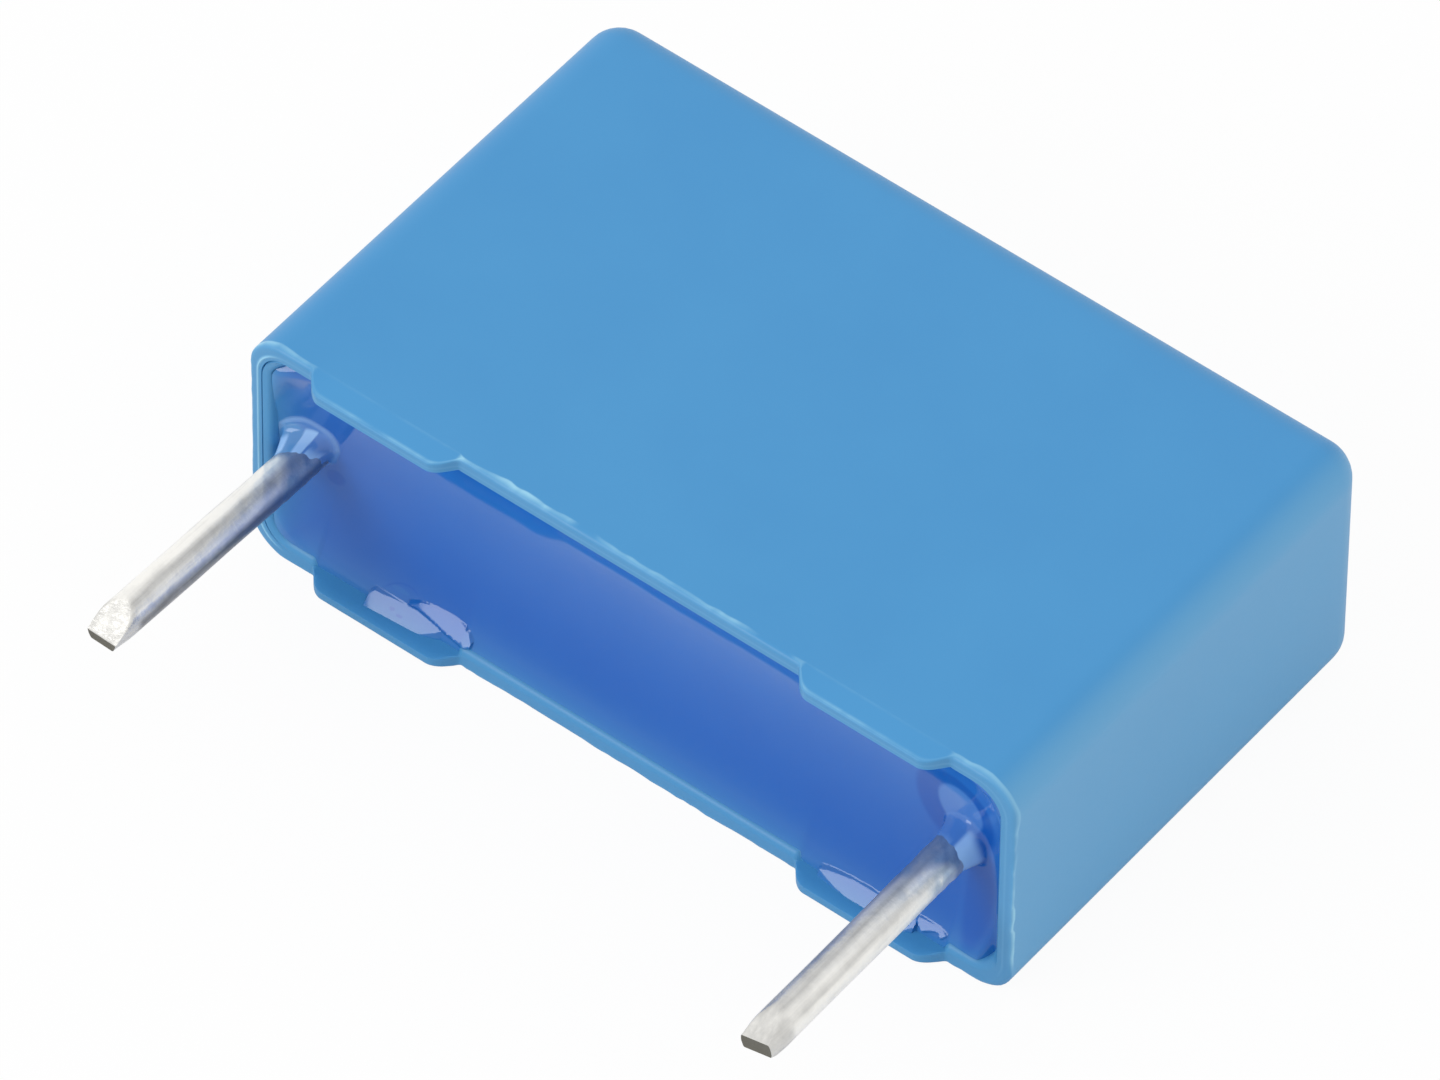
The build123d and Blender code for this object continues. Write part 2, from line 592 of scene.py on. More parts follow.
@dataclass(frozen=True)
class TinnedWire(Finish):
    """Bright tin on round wire, drawn along its length, with the core bare at the cut."""

    name: str = "tinned_wire_drawn"
    tin: Colour = (0.980, 0.965, 0.920)
    # dull and tin: the dark and bright ends of the painted reflection round the wire
    dull: Colour = (0.240, 0.240, 0.240)
    # painted blue reflection of the resin and painted shade near the wire's root
    painted_root_reflection: Colour = (0.075, 0.145, 0.290)
    painted_pale_root_reflection: Colour = (0.190, 0.300, 0.470)
    core: Colour = (0.115, 0.110, 0.090)
    roughness: float = 0.36
    metal: float = 0.62
    streak_pitch: float = 0.16
    patch_pitch: float = 0.45
    relief: float = 0.02

    def build(self, shader: Shader) -> None:
        """Painted reflection round the wire with random streaks along it, duller patches, a painted
        blue reflection of the resin near it and the dark cut.

        Args:
            shader: The tree that takes the nodes.
        """
        along = shader.place(scale=(1.0, 0.05, 1.0))
        streak = shader.noise(along, self.streak_pitch, 3.0, 0.6)
        patch = shader.noise(shader.place(), self.patch_pitch, 4.0, 0.65)
        cut = shader.mark("cut")
        # painted reflection: the tone mark's brightness by turn round the wire, with random streaks
        # and patches
        bright = (shader.mark("tone") + (streak - 0.5) * 0.6 + (patch - 0.5) * 0.5).clamped()
        # painted reflection of the resin and painted shade near the root
        painted_root_reflection = (shader.mark("root") * (0.4 + patch)).clamped()
        blue = shader.mix(bright, self.painted_root_reflection, self.painted_pale_root_reflection)
        tin = shader.mix(painted_root_reflection, shader.mix(bright, self.dull, self.tin), blue)
        shader.surface(
            {
                "Base Color": shader.mix(cut, tin, self.core),
                "Metallic": self.metal - cut * 0.4 - painted_root_reflection * 0.3,
                "Roughness": (
                    self.roughness + (streak - 0.5) * 0.2 + (patch - 0.5) * 0.3 + cut * 0.2
                ).clamped(),
                "Normal": shader.bump(streak * 0.6 + patch, self.relief),
            }
        )


@dataclass(frozen=True)
class SprayedMetal(Finish):
    """Grey metal sprayed onto the winding's ends: rough and grainy."""

    name: str = "sprayed_metal_rough"
    colour: Colour = (0.36, 0.36, 0.34)
    pale: Colour = (0.52, 0.52, 0.50)
    roughness: float = 0.55
    grain_pitch: float = 0.12
    relief: float = 0.03

    def build(self, shader: Shader) -> None:
        """Spattered grains of two greys.

        Args:
            shader: The tree that takes the nodes.
        """
        grain = shader.noise(shader.place(), self.grain_pitch, 4.0, 0.7)
        shader.surface(
            {
                "Base Color": shader.mix((grain - 0.4) * 4.0, self.colour, self.pale),
                "Metallic": 1.0,
                "Roughness": self.roughness + (grain - 0.5) * 0.4,
                "Normal": shader.bump(grain, self.relief),
            }
        )


@dataclass(frozen=True)
class WoundFilm(Finish):
    """Metallised film in many turns, silvery with fine lines round the roll."""

    name: str = "metallised_film_wound"
    colour: Colour = (0.52, 0.53, 0.56)
    dark: Colour = (0.34, 0.35, 0.38)
    roughness: float = 0.3
    line_pitch: float = 0.25
    relief: float = 0.01

    def build(self, shader: Shader) -> None:
        """Fine lines across the roll's length and a soft sheen.

        Args:
            shader: The tree that takes the nodes.
        """
        around = shader.place(scale=(1.0, 0.05, 0.05))
        lines = shader.noise(around, self.line_pitch, 3.0, 0.6)
        shader.surface(
            {
                "Base Color": shader.mix((lines - 0.4) * 3.0, self.colour, self.dark),
                "Metallic": 0.8,
                "Roughness": self.roughness + (lines - 0.5) * 0.2,
                "Normal": shader.bump(lines, self.relief),
            }
        )


@dataclass(frozen=True)
class PaleFloor(Finish):
    """White table top: it shows white and keeps a soft shadow."""

    name: str = "pale_floor"
    diffuse: float = 0.86
    shown_shadow: float = 0.06

    def build(self, shader: Shader) -> None:
        """Plain diffuse white, mixed with even white where the camera looks at it.

        Args:
            shader: The tree that takes the nodes.
        """
        path = shader.node("ShaderNodeLightPath")
        grey = shader.noise(shader.place(), 40.0, 1.0)
        level = self.diffuse + (grey - 0.5) * 0.01
        tone = shader.mix(level, (0.0, 0.0, 0.0), (1.0, 1.0, 1.0))
        matt = shader.value("ShaderNodeBsdfDiffuse", {}, {"Color": tone})
        even = shader.value("ShaderNodeEmission", {}, {"Color": (1, 1, 1, 1), "Strength": 1.0})
        seen = Value(shader, path.outputs["Is Camera Ray"]) * (1 - self.shown_shadow)
        mixed = shader.value("ShaderNodeMixShader", {}, {0: seen, 1: matt, 2: even})
        shader.node("ShaderNodeOutputMaterial", {}, {"Surface": mixed})


# ---- moulded case ------------------------------------------------------------------------


@dataclass(frozen=True)
class RoundedOutline:
    """Columns round a rounded rectangle, so that rings of any size share them.

    A column's place is linear in the rectangle's half length a, half thickness b and corner
    radius r: x = x0 + xa a + xr r, and z = zb b + zr r.  The columns start at (a, 0) and go
    round by way of (0, b), so column k has its mirror in z at count - k.
    """

    long_x: Array
    side_steps: int = 16
    corner_steps: int = 10
    run_steps: int = 6

    def quarter(self) -> Array:
        """Weights x0, xa, xr, zb, zr of the columns from (a, 0) to (0, b).

        Returns:
            An array of five rows.
        """
        t = np.linspace(0, 1, self.side_steps, endpoint=False)
        side = np.stack([0 * t, 0 * t + 1, 0 * t, t, -t])
        angle = np.linspace(0, pi / 2, self.corner_steps, endpoint=False)
        one = np.ones_like(angle)
        corner = np.stack([0 * one, one, np.cos(angle) - 1, one, np.sin(angle) - 1])
        locked = self.long_x[0]
        t = np.linspace(0, 1, self.run_steps, endpoint=False)
        run = np.stack([locked * t, 1 - t, t - 1, 0 * t + 1, 0 * t])
        one = np.ones_like(self.long_x)
        wall = np.stack([self.long_x, 0 * one, 0 * one, one, 0 * one])
        return np.concatenate([side, corner, run, wall], 1)

    def weights(self) -> Array:
        """Weights of all columns: the quarter and its three mirror images.

        Returns:
            An array of five rows.
        """
        ahead = self.quarter()
        back = ahead[:, :0:-1]
        flip_x = np.array([-1, -1, -1, 1, 1])[:, None]
        flip_z = np.array([1, 1, 1, -1, -1])[:, None]
        forward = ahead[:, :-1]
        return np.concatenate(
            [forward, back * flip_x, forward * flip_x * flip_z, back * flip_z], 1
        )

    def place(self, a: Array, b: Array, r: Array) -> tuple[Array, Array]:
        """Where the columns stand for rings of the given sizes.

        Args:
            a: Half length, for each ring and column.
            b: Half thickness.
            r: Corner radius.

        Returns:
            x and z of each column, about the rectangle's middle.
        """
        x0, xa, xr, zb, zr = self.weights()
        return x0 + xa * a + xr * r, zb * b + zr * r


@dataclass(frozen=True)
class Rim:
    """What varies along the rim, one number for each column of the shell.

    x is the column's place, foot its share of a foot's height and quick 1 on any foot.  left
    and lower are the shares of those two walls, ridge the flash's height, pale the painted sheen
    on the right wall and jog the wander of the bend above the rim.
    """

    x: Array
    foot: Array
    quick: Array
    left: Array
    lower: Array
    ridge: Array
    pale: Array
    jog: Array


@dataclass
class Rings:
    """Profile of the shell as rings in order, each with one number for every column."""

    rim: Rim
    rim_y: float
    draft_deg: float
    rows: list[tuple[Array, ...]] = field(default_factory=list)

    def add(
        self,
        inset: Level,
        y: Level,
        corner: Level,
        mark: Level = 0.0,
        dull: Level = 0.0,
        drafted: bool = True,
    ) -> None:
        """Adds one ring, spread over all columns.

        Args:
            inset: Distance inwards from the outer wall.
            y: Place along Y.
            corner: Corner radius.
            mark: Share of pale flash, with painted highlights and the right end's painted sheen.
            dull: Share of painted shade on the rim.
            drafted: Whether the ends' outer draft moves it.
        """
        draft = np.maximum(y - self.rim_y, 0) * tan(radians(self.draft_deg)) * drafted
        parts = (inset, y, corner, mark, dull, draft)
        self.rows.append(tuple(np.asarray(part, float) + 0 * self.rim.x for part in parts))


# colour of the rounded edge's rings: share of pale flash, painted brighter as a highlight along the
# edge
EDGE_MARKS = (1.0, 0.55, 0.2, 0.1, 0.05, 0.02)
# rings across the rim's land: share of its width, paleness painted as a highlight, height of the
# raised line
LAND_RINGS = (
    (0.3, 0.0, 0.0), (0.42, 0.1, 0.3), (0.56, 0.12, 1.0), (0.66, 0.0, 0.3), (0.76, 0.0, 0.0)
)
# rings down the mouth's chamfer: share of its width, share of its depth where it is worn round
CHAMFER_RINGS = ((0.4, 0.05), (0.7, 0.2), (0.87, 0.44), (1.0, 1.0))


@dataclass
class MouldedCase:
    """The blue box, open on the lead side, with two stand-off feet on each broad wall."""

    wall: float = 0.5
    top_wall: float = 0.6
    draft_deg: float = 0.3
    end_draft_deg: float = 0.33
    corner_radius: float = 0.75
    top_edge_radius: float = 0.7
    rim_radius: float = 0.1
    inner_corner_radius: float = 0.45
    inner_top_radius: float = 0.3
    chamfer: float = 0.2
    chamfer_depth: float = 0.25
    foot_height: float = 0.4
    foot_length: float = 3.45
    foot_end_run: float = 0.33
    foot_inset: float = 1.45
    foot_taper: float = 0.06
    flash_height: float = 0.03
    flash_strength: float = 1.5
    bend_gap: float = 0.02
    jog_height: float = 0.045
    jog_detail: float = 0.02
    # painted sheen on the right end face
    painted_end_sheen: float = 0.28
    line_height: float = 0.02
    root_zones: tuple[float, ...] = (7.55, 6.75, 4.40, 3.75)
    fine_step: float = 0.03
    coarse_step: float = 0.08
    top_rings: int = 12
    wall_rings: int = 26
    low: Array = field(init=False)
    high: Array = field(init=False)

    def __post_init__(self) -> None:
        """Takes the case's box from the frame."""
        low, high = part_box("case")
        self.low, self.high = np.array(low) / MM, np.array(high) / MM

    @property
    def half_length(self) -> float:
        """Half the case's length."""
        return (self.high[0] - self.low[0]) / 2

    @property
    def half_thickness(self) -> float:
        """Half the case's thickness."""
        return (self.high[2] - self.low[2]) / 2

    @property
    def middle_z(self) -> float:
        """Height of the case's middle plane."""
        return (self.high[2] + self.low[2]) / 2

    @property
    def rim_y(self) -> float:
        """Plane of the rim, behind the feet."""
        return self.low[1] + self.foot_height

    @property
    def chamfer_y(self) -> float:
        """Inner end of the chamfer round the mouth."""
        return self.rim_y + self.chamfer_depth

    def foot(self, x: Array) -> Array:
        """Share of the foot's height at x: a trapezoid with rounded corners.

        Args:
            x: Places along the wall.

        Returns:
            0 between the feet and 1 on them.
        """
        outer = self.half_length - self.foot_inset
        inner = outer - self.foot_length
        run = self.foot_end_run
        rise = soft_min((np.abs(x) - inner) / run, (outer - np.abs(x)) / run, 0.3)
        return np.maximum(-soft_min(-soft_min(rise, 1.0 + 0 * rise, 0.5), 0 * rise, 0.12), 0)

    def wall_x(self) -> Array:
        """Columns along a broad wall, from the outer end to the middle, close at a foot's ends.

        Returns:
            Their places, falling to 0.
        """
        outer, inner, far, near = self.root_zones
        return np.concatenate(
            [
                np.arange(outer, inner, -self.fine_step),
                np.arange(inner, far, -self.coarse_step),
                np.arange(far, near, -self.fine_step),
                np.linspace(near, 0.0, 50),
            ]
        )

    def flash(self, x: Array, z: Array) -> Array:
        """Height of the ragged flash along the rim, from 0 to 1.

        Args:
            x: Place along the case.
            z: Height from the middle plane.

        Returns:
            The flash's share of its full height.
        """
        way = x + z
        coarse = 0.6 + 0.4 * wave(way, 0.55, 3)
        fine = 0.75 + 0.25 * wave(way, 0.13, 4)
        chips = smooth_step(-0.8, -0.4, wave(way, 0.9, 5))
        return coarse * fine * chips

    def worn(self, x: Array, z: Array) -> tuple[Array, Array]:
        """Shares of the left wall and of the lower one, whose inner rims are rounded over.

        Args:
            x: Place along the case.
            z: Height from the middle plane.

        Returns:
            The left wall's share and the lower wall's.
        """
        left = smooth_step(0.7, 0.1, x + self.half_length)
        return left, smooth_step(0.75, 0.2, z + self.half_thickness)

    def rim(self, x: Array, z: Array) -> Rim:
        """Works out what varies along the rim.

        Args:
            x: Outer place of each column.
            z: Outer height of each column, from the middle plane.

        Returns:
            The rim's columns.
        """
        foot = self.foot(x)
        quick = np.clip(4 * foot, 0, 1)
        left, lower = self.worn(x, z)
        end = self.half_length
        ridge = self.flash(x, z) * (1 - 0.6 * quick)
        # painted sheen: the right end face is painted paler
        pale = self.painted_end_sheen * smooth_step(end - 0.6, end - 0.02, x)
        jog = self.jog_height * wave(x + z, 0.9, 6) + self.jog_detail * wave(x + z, 0.22, 7)
        jog = jog * (1 - quick) * (1 + 0.7 * smooth_step(end - 0.2, end, x))
        return Rim(x, foot, quick, left, lower, ridge, pale, jog)

    def add_outside(self, rings: Rings) -> None:
        """Adds the rings from the closed top over its rounded edge and down to the rim's bend.

        Args:
            rings: The profile so far.
        """
        rim, radius, high = rings.rim, self.top_edge_radius, self.high[1]
        # these rings carry the right end's painted sheen
        for angle in np.linspace(0, pi / 2, self.top_rings):
            inset = radius * (1 - sin(angle))
            rings.add(inset, high - radius * (1 - cos(angle)), self.corner_radius - inset, rim.pale)
        for y in np.linspace(high - radius, self.rim_y + 0.25, self.wall_rings)[1:]:
            rings.add(0, y, self.corner_radius, rim.pale)

    def add_edge(self, rings: Rings) -> None:
        """Adds the bend above the rim, with its ragged flash, and the rounded outer edge.

        The feet move these rings to -Y by the foot's share of its height, and the bend then
        marks the foot's root.

        Args:
            rings: The profile so far.
        """
        rim, corner = rings.rim, self.corner_radius
        front = self.rim_y - self.foot_height * rim.foot
        taper = self.foot_taper * rim.foot
        bend = self.rim_y + self.rim_radius
        rings.add(0, bend + 0.05 + rim.jog, corner, rim.pale)
        # pale flash, painted brighter along the rim's edge as a highlight
        strong = np.clip(self.flash_strength * rim.ridge, 0, 1)
        mark = np.maximum(rim.pale, strong * (1 - 0.8 * rim.quick))
        rings.add(0, bend + self.bend_gap + rim.jog, corner, mark)
        edge = front + 0.05 * rim.quick + self.rim_radius * (1 - rim.quick)
        mark = np.maximum(rim.pale, strong * (1 - rim.quick))
        for share in (0.12, 0.88):
            y = bend + self.bend_gap + rim.jog + (edge - bend - self.bend_gap) * share
            rings.add(taper * share, y, corner, mark)
        radius = edge - front
        for angle, mark in zip(np.linspace(0, pi / 2, len(EDGE_MARKS)), EDGE_MARKS):
            share = sin(angle)
            inset = taper + radius * (1 - cos(angle))
            lump = self.flash_height * rim.ridge * (1 - share) * share * 4
            y = edge - radius * share - lump + (rim.jog - 0.01 * (1 - rim.quick)) * (1 - share)
            # pale flash painted as a highlight round the edge, and painted shade growing towards the
            # land
            rings.add(inset, y, corner - inset / 3, mark * strong, share)

    def add_mouth(self, rings: Rings) -> None:
        """Adds the rim's land, the feet's inner sides and the chamfer round the mouth.

        The land has a thin raised line on the left wall and a groove behind it, and the left
        and lower walls are worn round on the inside.

        Args:
            rings: The profile so far.
        """
        rim, rim_y = rings.rim, self.rim_y
        front = rim_y - self.foot_height * rim.foot
        taper = self.foot_taper * rim.foot
        radius = 0.05 * rim.quick + self.rim_radius * (1 - rim.quick)
        land = self.wall - self.chamfer
        for share, mark, raised in LAND_RINGS:
            inset = taper + radius + (land - taper - radius - 0.03) * share
            # the raised line on the left wall is painted pale as a highlight
            line = rim.left * raised
            mark = np.maximum(mark * (1 - rim.lower), line)
            y = front - self.line_height * line
            # the land takes full painted shade
            rings.add(inset, y, self.corner_radius - inset / 3, mark, 1.0)
        corner = self.corner_radius - land / 3
        worn = np.maximum(rim.left, rim.lower) * (1 - rim.quick)
        for share in (0.0, 0.15, 0.5, 0.85, 1.0):
            y = front + (rim_y + 0.07 * rim.quick - front) * share
            y = y + 0.05 * rim.left * (1 - abs(2 * share - 1))
            inset = land - 0.03 * (1 - share) * (1 - rim.quick) - 0.02 * (share == 0) * rim.quick
            # the feet's inner sides take painted shade, less on the feet
            rings.add(inset, y, corner, 0, 1 - 0.7 * rim.quick)
        for share, deep in CHAMFER_RINGS:
            y = rim_y + self.chamfer_depth * (share + (deep - share) * worn)
            # the chamfer takes painted shade
            rings.add(land + self.chamfer * share, y, corner - self.chamfer * share, 0, 0.8, False)

    def add_inside(self, rings: Rings) -> None:
        """Adds the drafted inner walls and the rounded edge of the closed top's inner face.

        Args:
            rings: The profile so far.
        """
        end, rim_y, round_in = self.high[1] - self.top_wall, self.rim_y, self.inner_top_radius
        lean = tan(radians(self.draft_deg))
        for y in np.linspace(self.chamfer_y, end - round_in, 6)[1:]:
            rings.add(self.wall + (y - rim_y) * lean, y, self.inner_corner_radius, drafted=False)
        for angle in np.linspace(0, pi / 2, 5)[1:]:
            inset = self.wall + (end - rim_y) * lean + round_in * (1 - cos(angle))
            corner = self.inner_corner_radius - round_in * (1 - cos(angle))
            rings.add(inset, end - round_in * (1 - sin(angle)), corner, drafted=False)

    def build(self, finish: Finish) -> bpy.types.Object:
        """Makes the shell as one closed surface of rings and columns.

        Args:
            finish: The case's plastic.

        Returns:
            The case.
        """
        outline = RoundedOutline(self.wall_x())
        a, b = self.half_length, self.half_thickness
        x, z = outline.place(a, b, self.corner_radius)
        rings = Rings(self.rim(x, z), self.rim_y, self.end_draft_deg)
        self.add_outside(rings)
        self.add_edge(rings)
        self.add_mouth(rings)
        self.add_inside(rings)
        inset, y, corner, flash, dull, draft = (np.stack(part) for part in zip(*rings.rows))
        x, z = outline.place(a - inset - draft, b - inset, corner)
        points = np.stack([x, y, z + self.middle_z], -1).reshape(-1, 3)
        # rim carries the painted shade on the rim, flash the pale flash with its painted highlights
        # and the right end's painted sheen
        marks = {"flash": flash, "rim": dull}
        piece = make_piece("moulded_case", points, tube_faces(*x.shape), finish, 32, marks)
        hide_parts("case")
        return piece


# ---- leads -------------------------------------------------------------------------------


@dataclass(frozen=True)
class PaintedWireLight:
    """Painted reflection on the tin round a wire, at turns from -180 to 180 degrees.

    Its brightness runs from 0 to 1, and the reaches say how far from the rim the painted blue
    reflection of the resin, with painted shade, reaches along the wire.
    """

    turns: tuple[float, ...]
    painted_tones: tuple[float, ...]
    painted_root_reaches: tuple[float, ...]

    def tone(self, angle: Array, way: Array, seed: int) -> Array:
        """Painted brightness at each angle, with the streaks wandering along the wire.

        Args:
            angle: Turn round the wire, in radians.
            way: Distance along the wire.
            seed: Picks the wandering.

        Returns:
            The tone, from 0 to 1.
        """
        turn = np.degrees(np.arctan2(np.sin(angle), np.cos(angle)))
        turn = turn + 5 * wave(way, 1.7, seed) + 3 * wave(way, 0.5, seed + 1)
        return np.interp(turn, self.turns, self.painted_tones, period=360)

    def painted_root_reflection(self, angle: Array) -> Array:
        """Reach of the painted reflection of the resin at each angle."""
        turn = np.degrees(np.arctan2(np.sin(angle), np.cos(angle)))
        return np.interp(turn, self.turns, self.painted_root_reaches, period=360)


# painted reflection round each wire: brightness at each turn, and how far the painted reflection of
# the resin reaches
LEFT_PAINTED_TONES = PaintedWireLight(
    (-60, -10, 9, 22, 32, 42, 51, 62, 72, 83, 92, 107, 126, 160),
    (0.53, 0.05, 0.0, 0.5, 0.9, 0.92, 0.78, 0.5, 0.37, 0.62, 0.92, 1.0, 1.0, 0.76),
    (2.0, 2.3, 2.4, 2.2, 1.6, 1.1, 0.9, 0.8, 0.7, 0.55, 0.45, 0.4, 0.4, 0.5),
)
RIGHT_PAINTED_TONES = PaintedWireLight(
    (-60, -10, 9, 26, 39, 51, 62, 74, 86, 99, 115, 128, 138, 150, 160),
    (0.76, 1.0, 1.0, 0.92, 0.64, 0.72, 0.84, 0.68, 0.41, 0.57, 0.53, 0.35, 0.33, 0.5, 0.8),
    (0.3, 0.3, 0.3, 0.35, 0.4, 0.5, 0.7, 0.9, 1.1, 1.35, 1.8, 2.2, 2.4, 2.4, 2.2),
)


@dataclass
class TinnedLead:
    """One wire: straight as far as the feet's front, then leaning out to a pinched tip."""

    node: str
    side: int
    lean_deg: float
    tip_thickness: float
    tip_height: float
    tip_roll_deg: float
    painted_tones: PaintedWireLight
    seed: int
    radius: float = 0.4
    bend_radius: float = 2.0
    upper_facet_run: float = 0.75
    lower_facet_run: float = 0.4
    draw_depth: float = 0.004
    bumps: float = 0.006
    rough_tin: float = 0.012
    slack: float = 0.012
    end_sizes: tuple[float, ...] = (1.0, 0.93, 0.8, 0.4)
    end_dents: tuple[float, ...] = (0.0, 0.004, 0.015, 0.02)
    columns: int = 72

    @property
    def angles(self) -> Array:
        """Turns of the columns round the wire, as one row."""
        return np.linspace(0, 2 * pi, self.columns, endpoint=False)[None, :]

    def axis(self) -> float:
        """x of the wire where it leaves the resin."""
        low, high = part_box(self.node)
        return high[0] / MM - self.radius if self.side < 0 else low[0] / MM + self.radius

    def line(self, case: MouldedCase) -> tuple[Array, Array, Array, Array]:
        """Centre line of the wire, from its inner end to its tip.

        Formula: the heading grows from 0 to the lean over an arc of the bend radius, and the
        place is its integral: straight, arc, straight.

        Args:
            case: The case, whose feet set where the lean starts.

        Returns:
            x, y and heading of each section, and its distance from the tip.
        """
        low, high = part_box(self.node)
        lean = radians(self.lean_deg)
        start, bend, tip = high[1] / MM, case.low[1], low[1] / MM + self.radius * sin(lean)
        tangent = self.bend_radius * tan(lean / 2)
        straight = start - bend - tangent
        total = straight + self.bend_radius * lean + (bend - tip) / cos(lean) - tangent
        way = np.concatenate(
            [
                np.arange(0, straight - 1.6, 0.4),
                np.arange(straight - 1.6, total - 0.9, 0.025),
                np.linspace(total - 0.9, total, 46),
            ]
        )
        heading = np.clip((way - straight) / self.bend_radius, 0, lean)
        free = np.maximum(way - straight - self.bend_radius * lean, 0)
        x = self.axis() + self.side * (
            self.bend_radius * (1 - np.cos(heading)) + free * sin(lean)
        )
        y = start - np.minimum(way, straight) - self.bend_radius * np.sin(heading)
        return x, y - free * cos(lean), heading, total - way

    def skin(self, from_tip: Array, y: Array, case: MouldedCase) -> tuple[Array, Array]:
        """Section of the wire at each place: a circle with draw lines, pinched at the tip.

        Args:
            from_tip: Distance of each section from the tip.
            y: Place of each section along Y.
            case: The case, whose rim sets where the tin is ragged.

        Returns:
            Offsets across the wire, level and upright, for each section and column.
        """
        angle, way = self.angles, from_tip[:, None]
        across, over = np.cos(angle), np.sin(angle)
        drawn = self.draw_depth * wave(angle * self.radius * 9 + 0.02 * way, 0.55, self.seed)
        tin = smooth_step(case.rim_y - 1.6, case.rim_y - 0.3, y)[:, None]
        ragged = ripple(across * 0.4 + way, over * 0.4, 0.16, self.seed + 1)
        slow = ripple(across * 0.5 + way * 0.7, over * 0.5, 0.9, self.seed + 2)
        radius = self.radius - self.slack + drawn + self.bumps * slow
        radius = radius + self.rough_tin * tin * ragged
        level, upright = radius * np.cos(angle), radius * np.sin(angle)
        roll = radians(self.tip_roll_deg)
        turned = level * cos(roll) + upright * sin(roll)
        height = upright * cos(roll) - level * sin(roll)
        top = self.tip_height + self.tip_thickness / 2
        bottom = self.tip_height - self.tip_thickness / 2
        upper = top + (self.radius - top) * way / self.upper_facet_run
        lower = bottom - (self.radius + bottom) * way / self.lower_facet_run
        height = soft_min(height, upper, 0.03)
        height = -soft_min(-height, -lower, 0.03)
        turned = turned * (1 - 0.12 * smooth_step(0.5, 0.0, way))
        return turned * cos(roll) - height * sin(roll), turned * sin(roll) + height * cos(roll)

    def tone(self, from_tip: Array) -> Array:
        """Painted reflection: brightness of the tin for each section and column, plain on the tip's
        facets.

        Args:
            from_tip: Distance of each section from the tip.

        Returns:
            The brightness, from 0 to 1.
        """
        way = from_tip[:, None]
        plain = smooth_step(self.upper_facet_run, self.upper_facet_run - 0.25, way)
        tone = self.painted_tones.tone(self.angles, way + 0 * self.angles, self.seed + 3)
        return tone + (0.6 - tone) * plain

    def root(self, y: Array, case: MouldedCase) -> Array:
        """Share of painted blue reflection of the resin, with painted shade, where the wire leaves
        the resin, further along one side.

        Args:
            y: Place of each section along Y.
            case: The case, whose rim the painted reflection starts at.

        Returns:
            The share, from 0 to 1.
        """
        place = y[:, None]
        angle = self.angles + 0 * place
        ragged = ripple(np.cos(angle), np.sin(angle) + place, 0.35, self.seed + 4)
        reach = self.painted_tones.painted_root_reflection(angle) * (1 + 0.2 * ragged)
        return smooth_step(reach, 0.3 * reach, case.rim_y - place)

    def build(self, case: MouldedCase, finish: Finish) -> bpy.types.Object:
        """Makes the wire as one closed tube with a cut end.

        Args:
            case: The case it stands in.
            finish: The wire's tin.

        Returns:
            The lead.
        """
        x, y, heading, from_tip = self.line(case)
        level, upright = self.skin(from_tip, y, case)
        shrink = np.array(self.end_sizes)[:, None]
        dent = np.array(self.end_dents)
        ends = len(shrink)
        level = np.concatenate([level, level[-1:] * shrink])
        middle = upright[-1:].mean()
        upright = np.concatenate([upright, middle + (upright[-1:] - middle) * shrink])
        x = np.concatenate([x, np.full(ends, x[-1])])
        y = np.concatenate([y, y[-1] + dent])
        heading = np.concatenate([heading, np.full(ends, heading[-1])])
        across_x, across_y = np.cos(heading), self.side * np.sin(heading)
        points = np.stack(
            [
                x[:, None] + level * across_x[:, None],
                y[:, None] + level * across_y[:, None],
                case.middle_z + upright,
            ],
            -1,
        )
        rows = len(x)
        cut = np.zeros((rows, self.columns))
        cut[-ends:] = 1.0
        from_tip = np.concatenate([from_tip, np.zeros(ends)])
        # tone carries the painted reflection round the wire, root the painted reflection of the
        # resin near the root
        marks = {"cut": cut, "tone": self.tone(from_tip), "root": self.root(y, case)}
        faces = tube_faces(rows, self.columns)
        piece = make_piece(f"{self.node}_wire", points.reshape(-1, 3), faces, finish, 38, marks)
        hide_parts(self.node)
        return piece


# ---- parts inside the resin ---------------------------------------------------------------


class InnerPart(Enum):
    """CAD nodes that keep their shape."""

    FILM_WINDING = "film_winding"
    END_CONTACT_LEFT = "end_contact_left"
    END_CONTACT_RIGHT = "end_contact_right"


CONTACTS = (InnerPart.END_CONTACT_LEFT, InnerPart.END_CONTACT_RIGHT)


# ---- potting resin -----------------------------------------------------------------------


@dataclass(frozen=True)
class Mouth:
    """Places over the case's open mouth, one for each point of the resin's face.

    x is the place along the mouth, z the height from the middle plane, and left, right and
    lower are the distances from those edges of the resin.
    """

    case: MouldedCase
    x: Array
    z: Array
    left: Array
    right: Array
    lower: Array

    @property
    def up(self) -> Array:
        """Heights above the part's lower face."""
        return self.z + self.case.middle_z


@dataclass(frozen=True)
class PaintedGlint:
    """A painted highlight on a collar: where it lies round the wire, and how wide it is."""

    turn_deg: float
    width_deg: float
    inner: float
    outer: float
    share: float


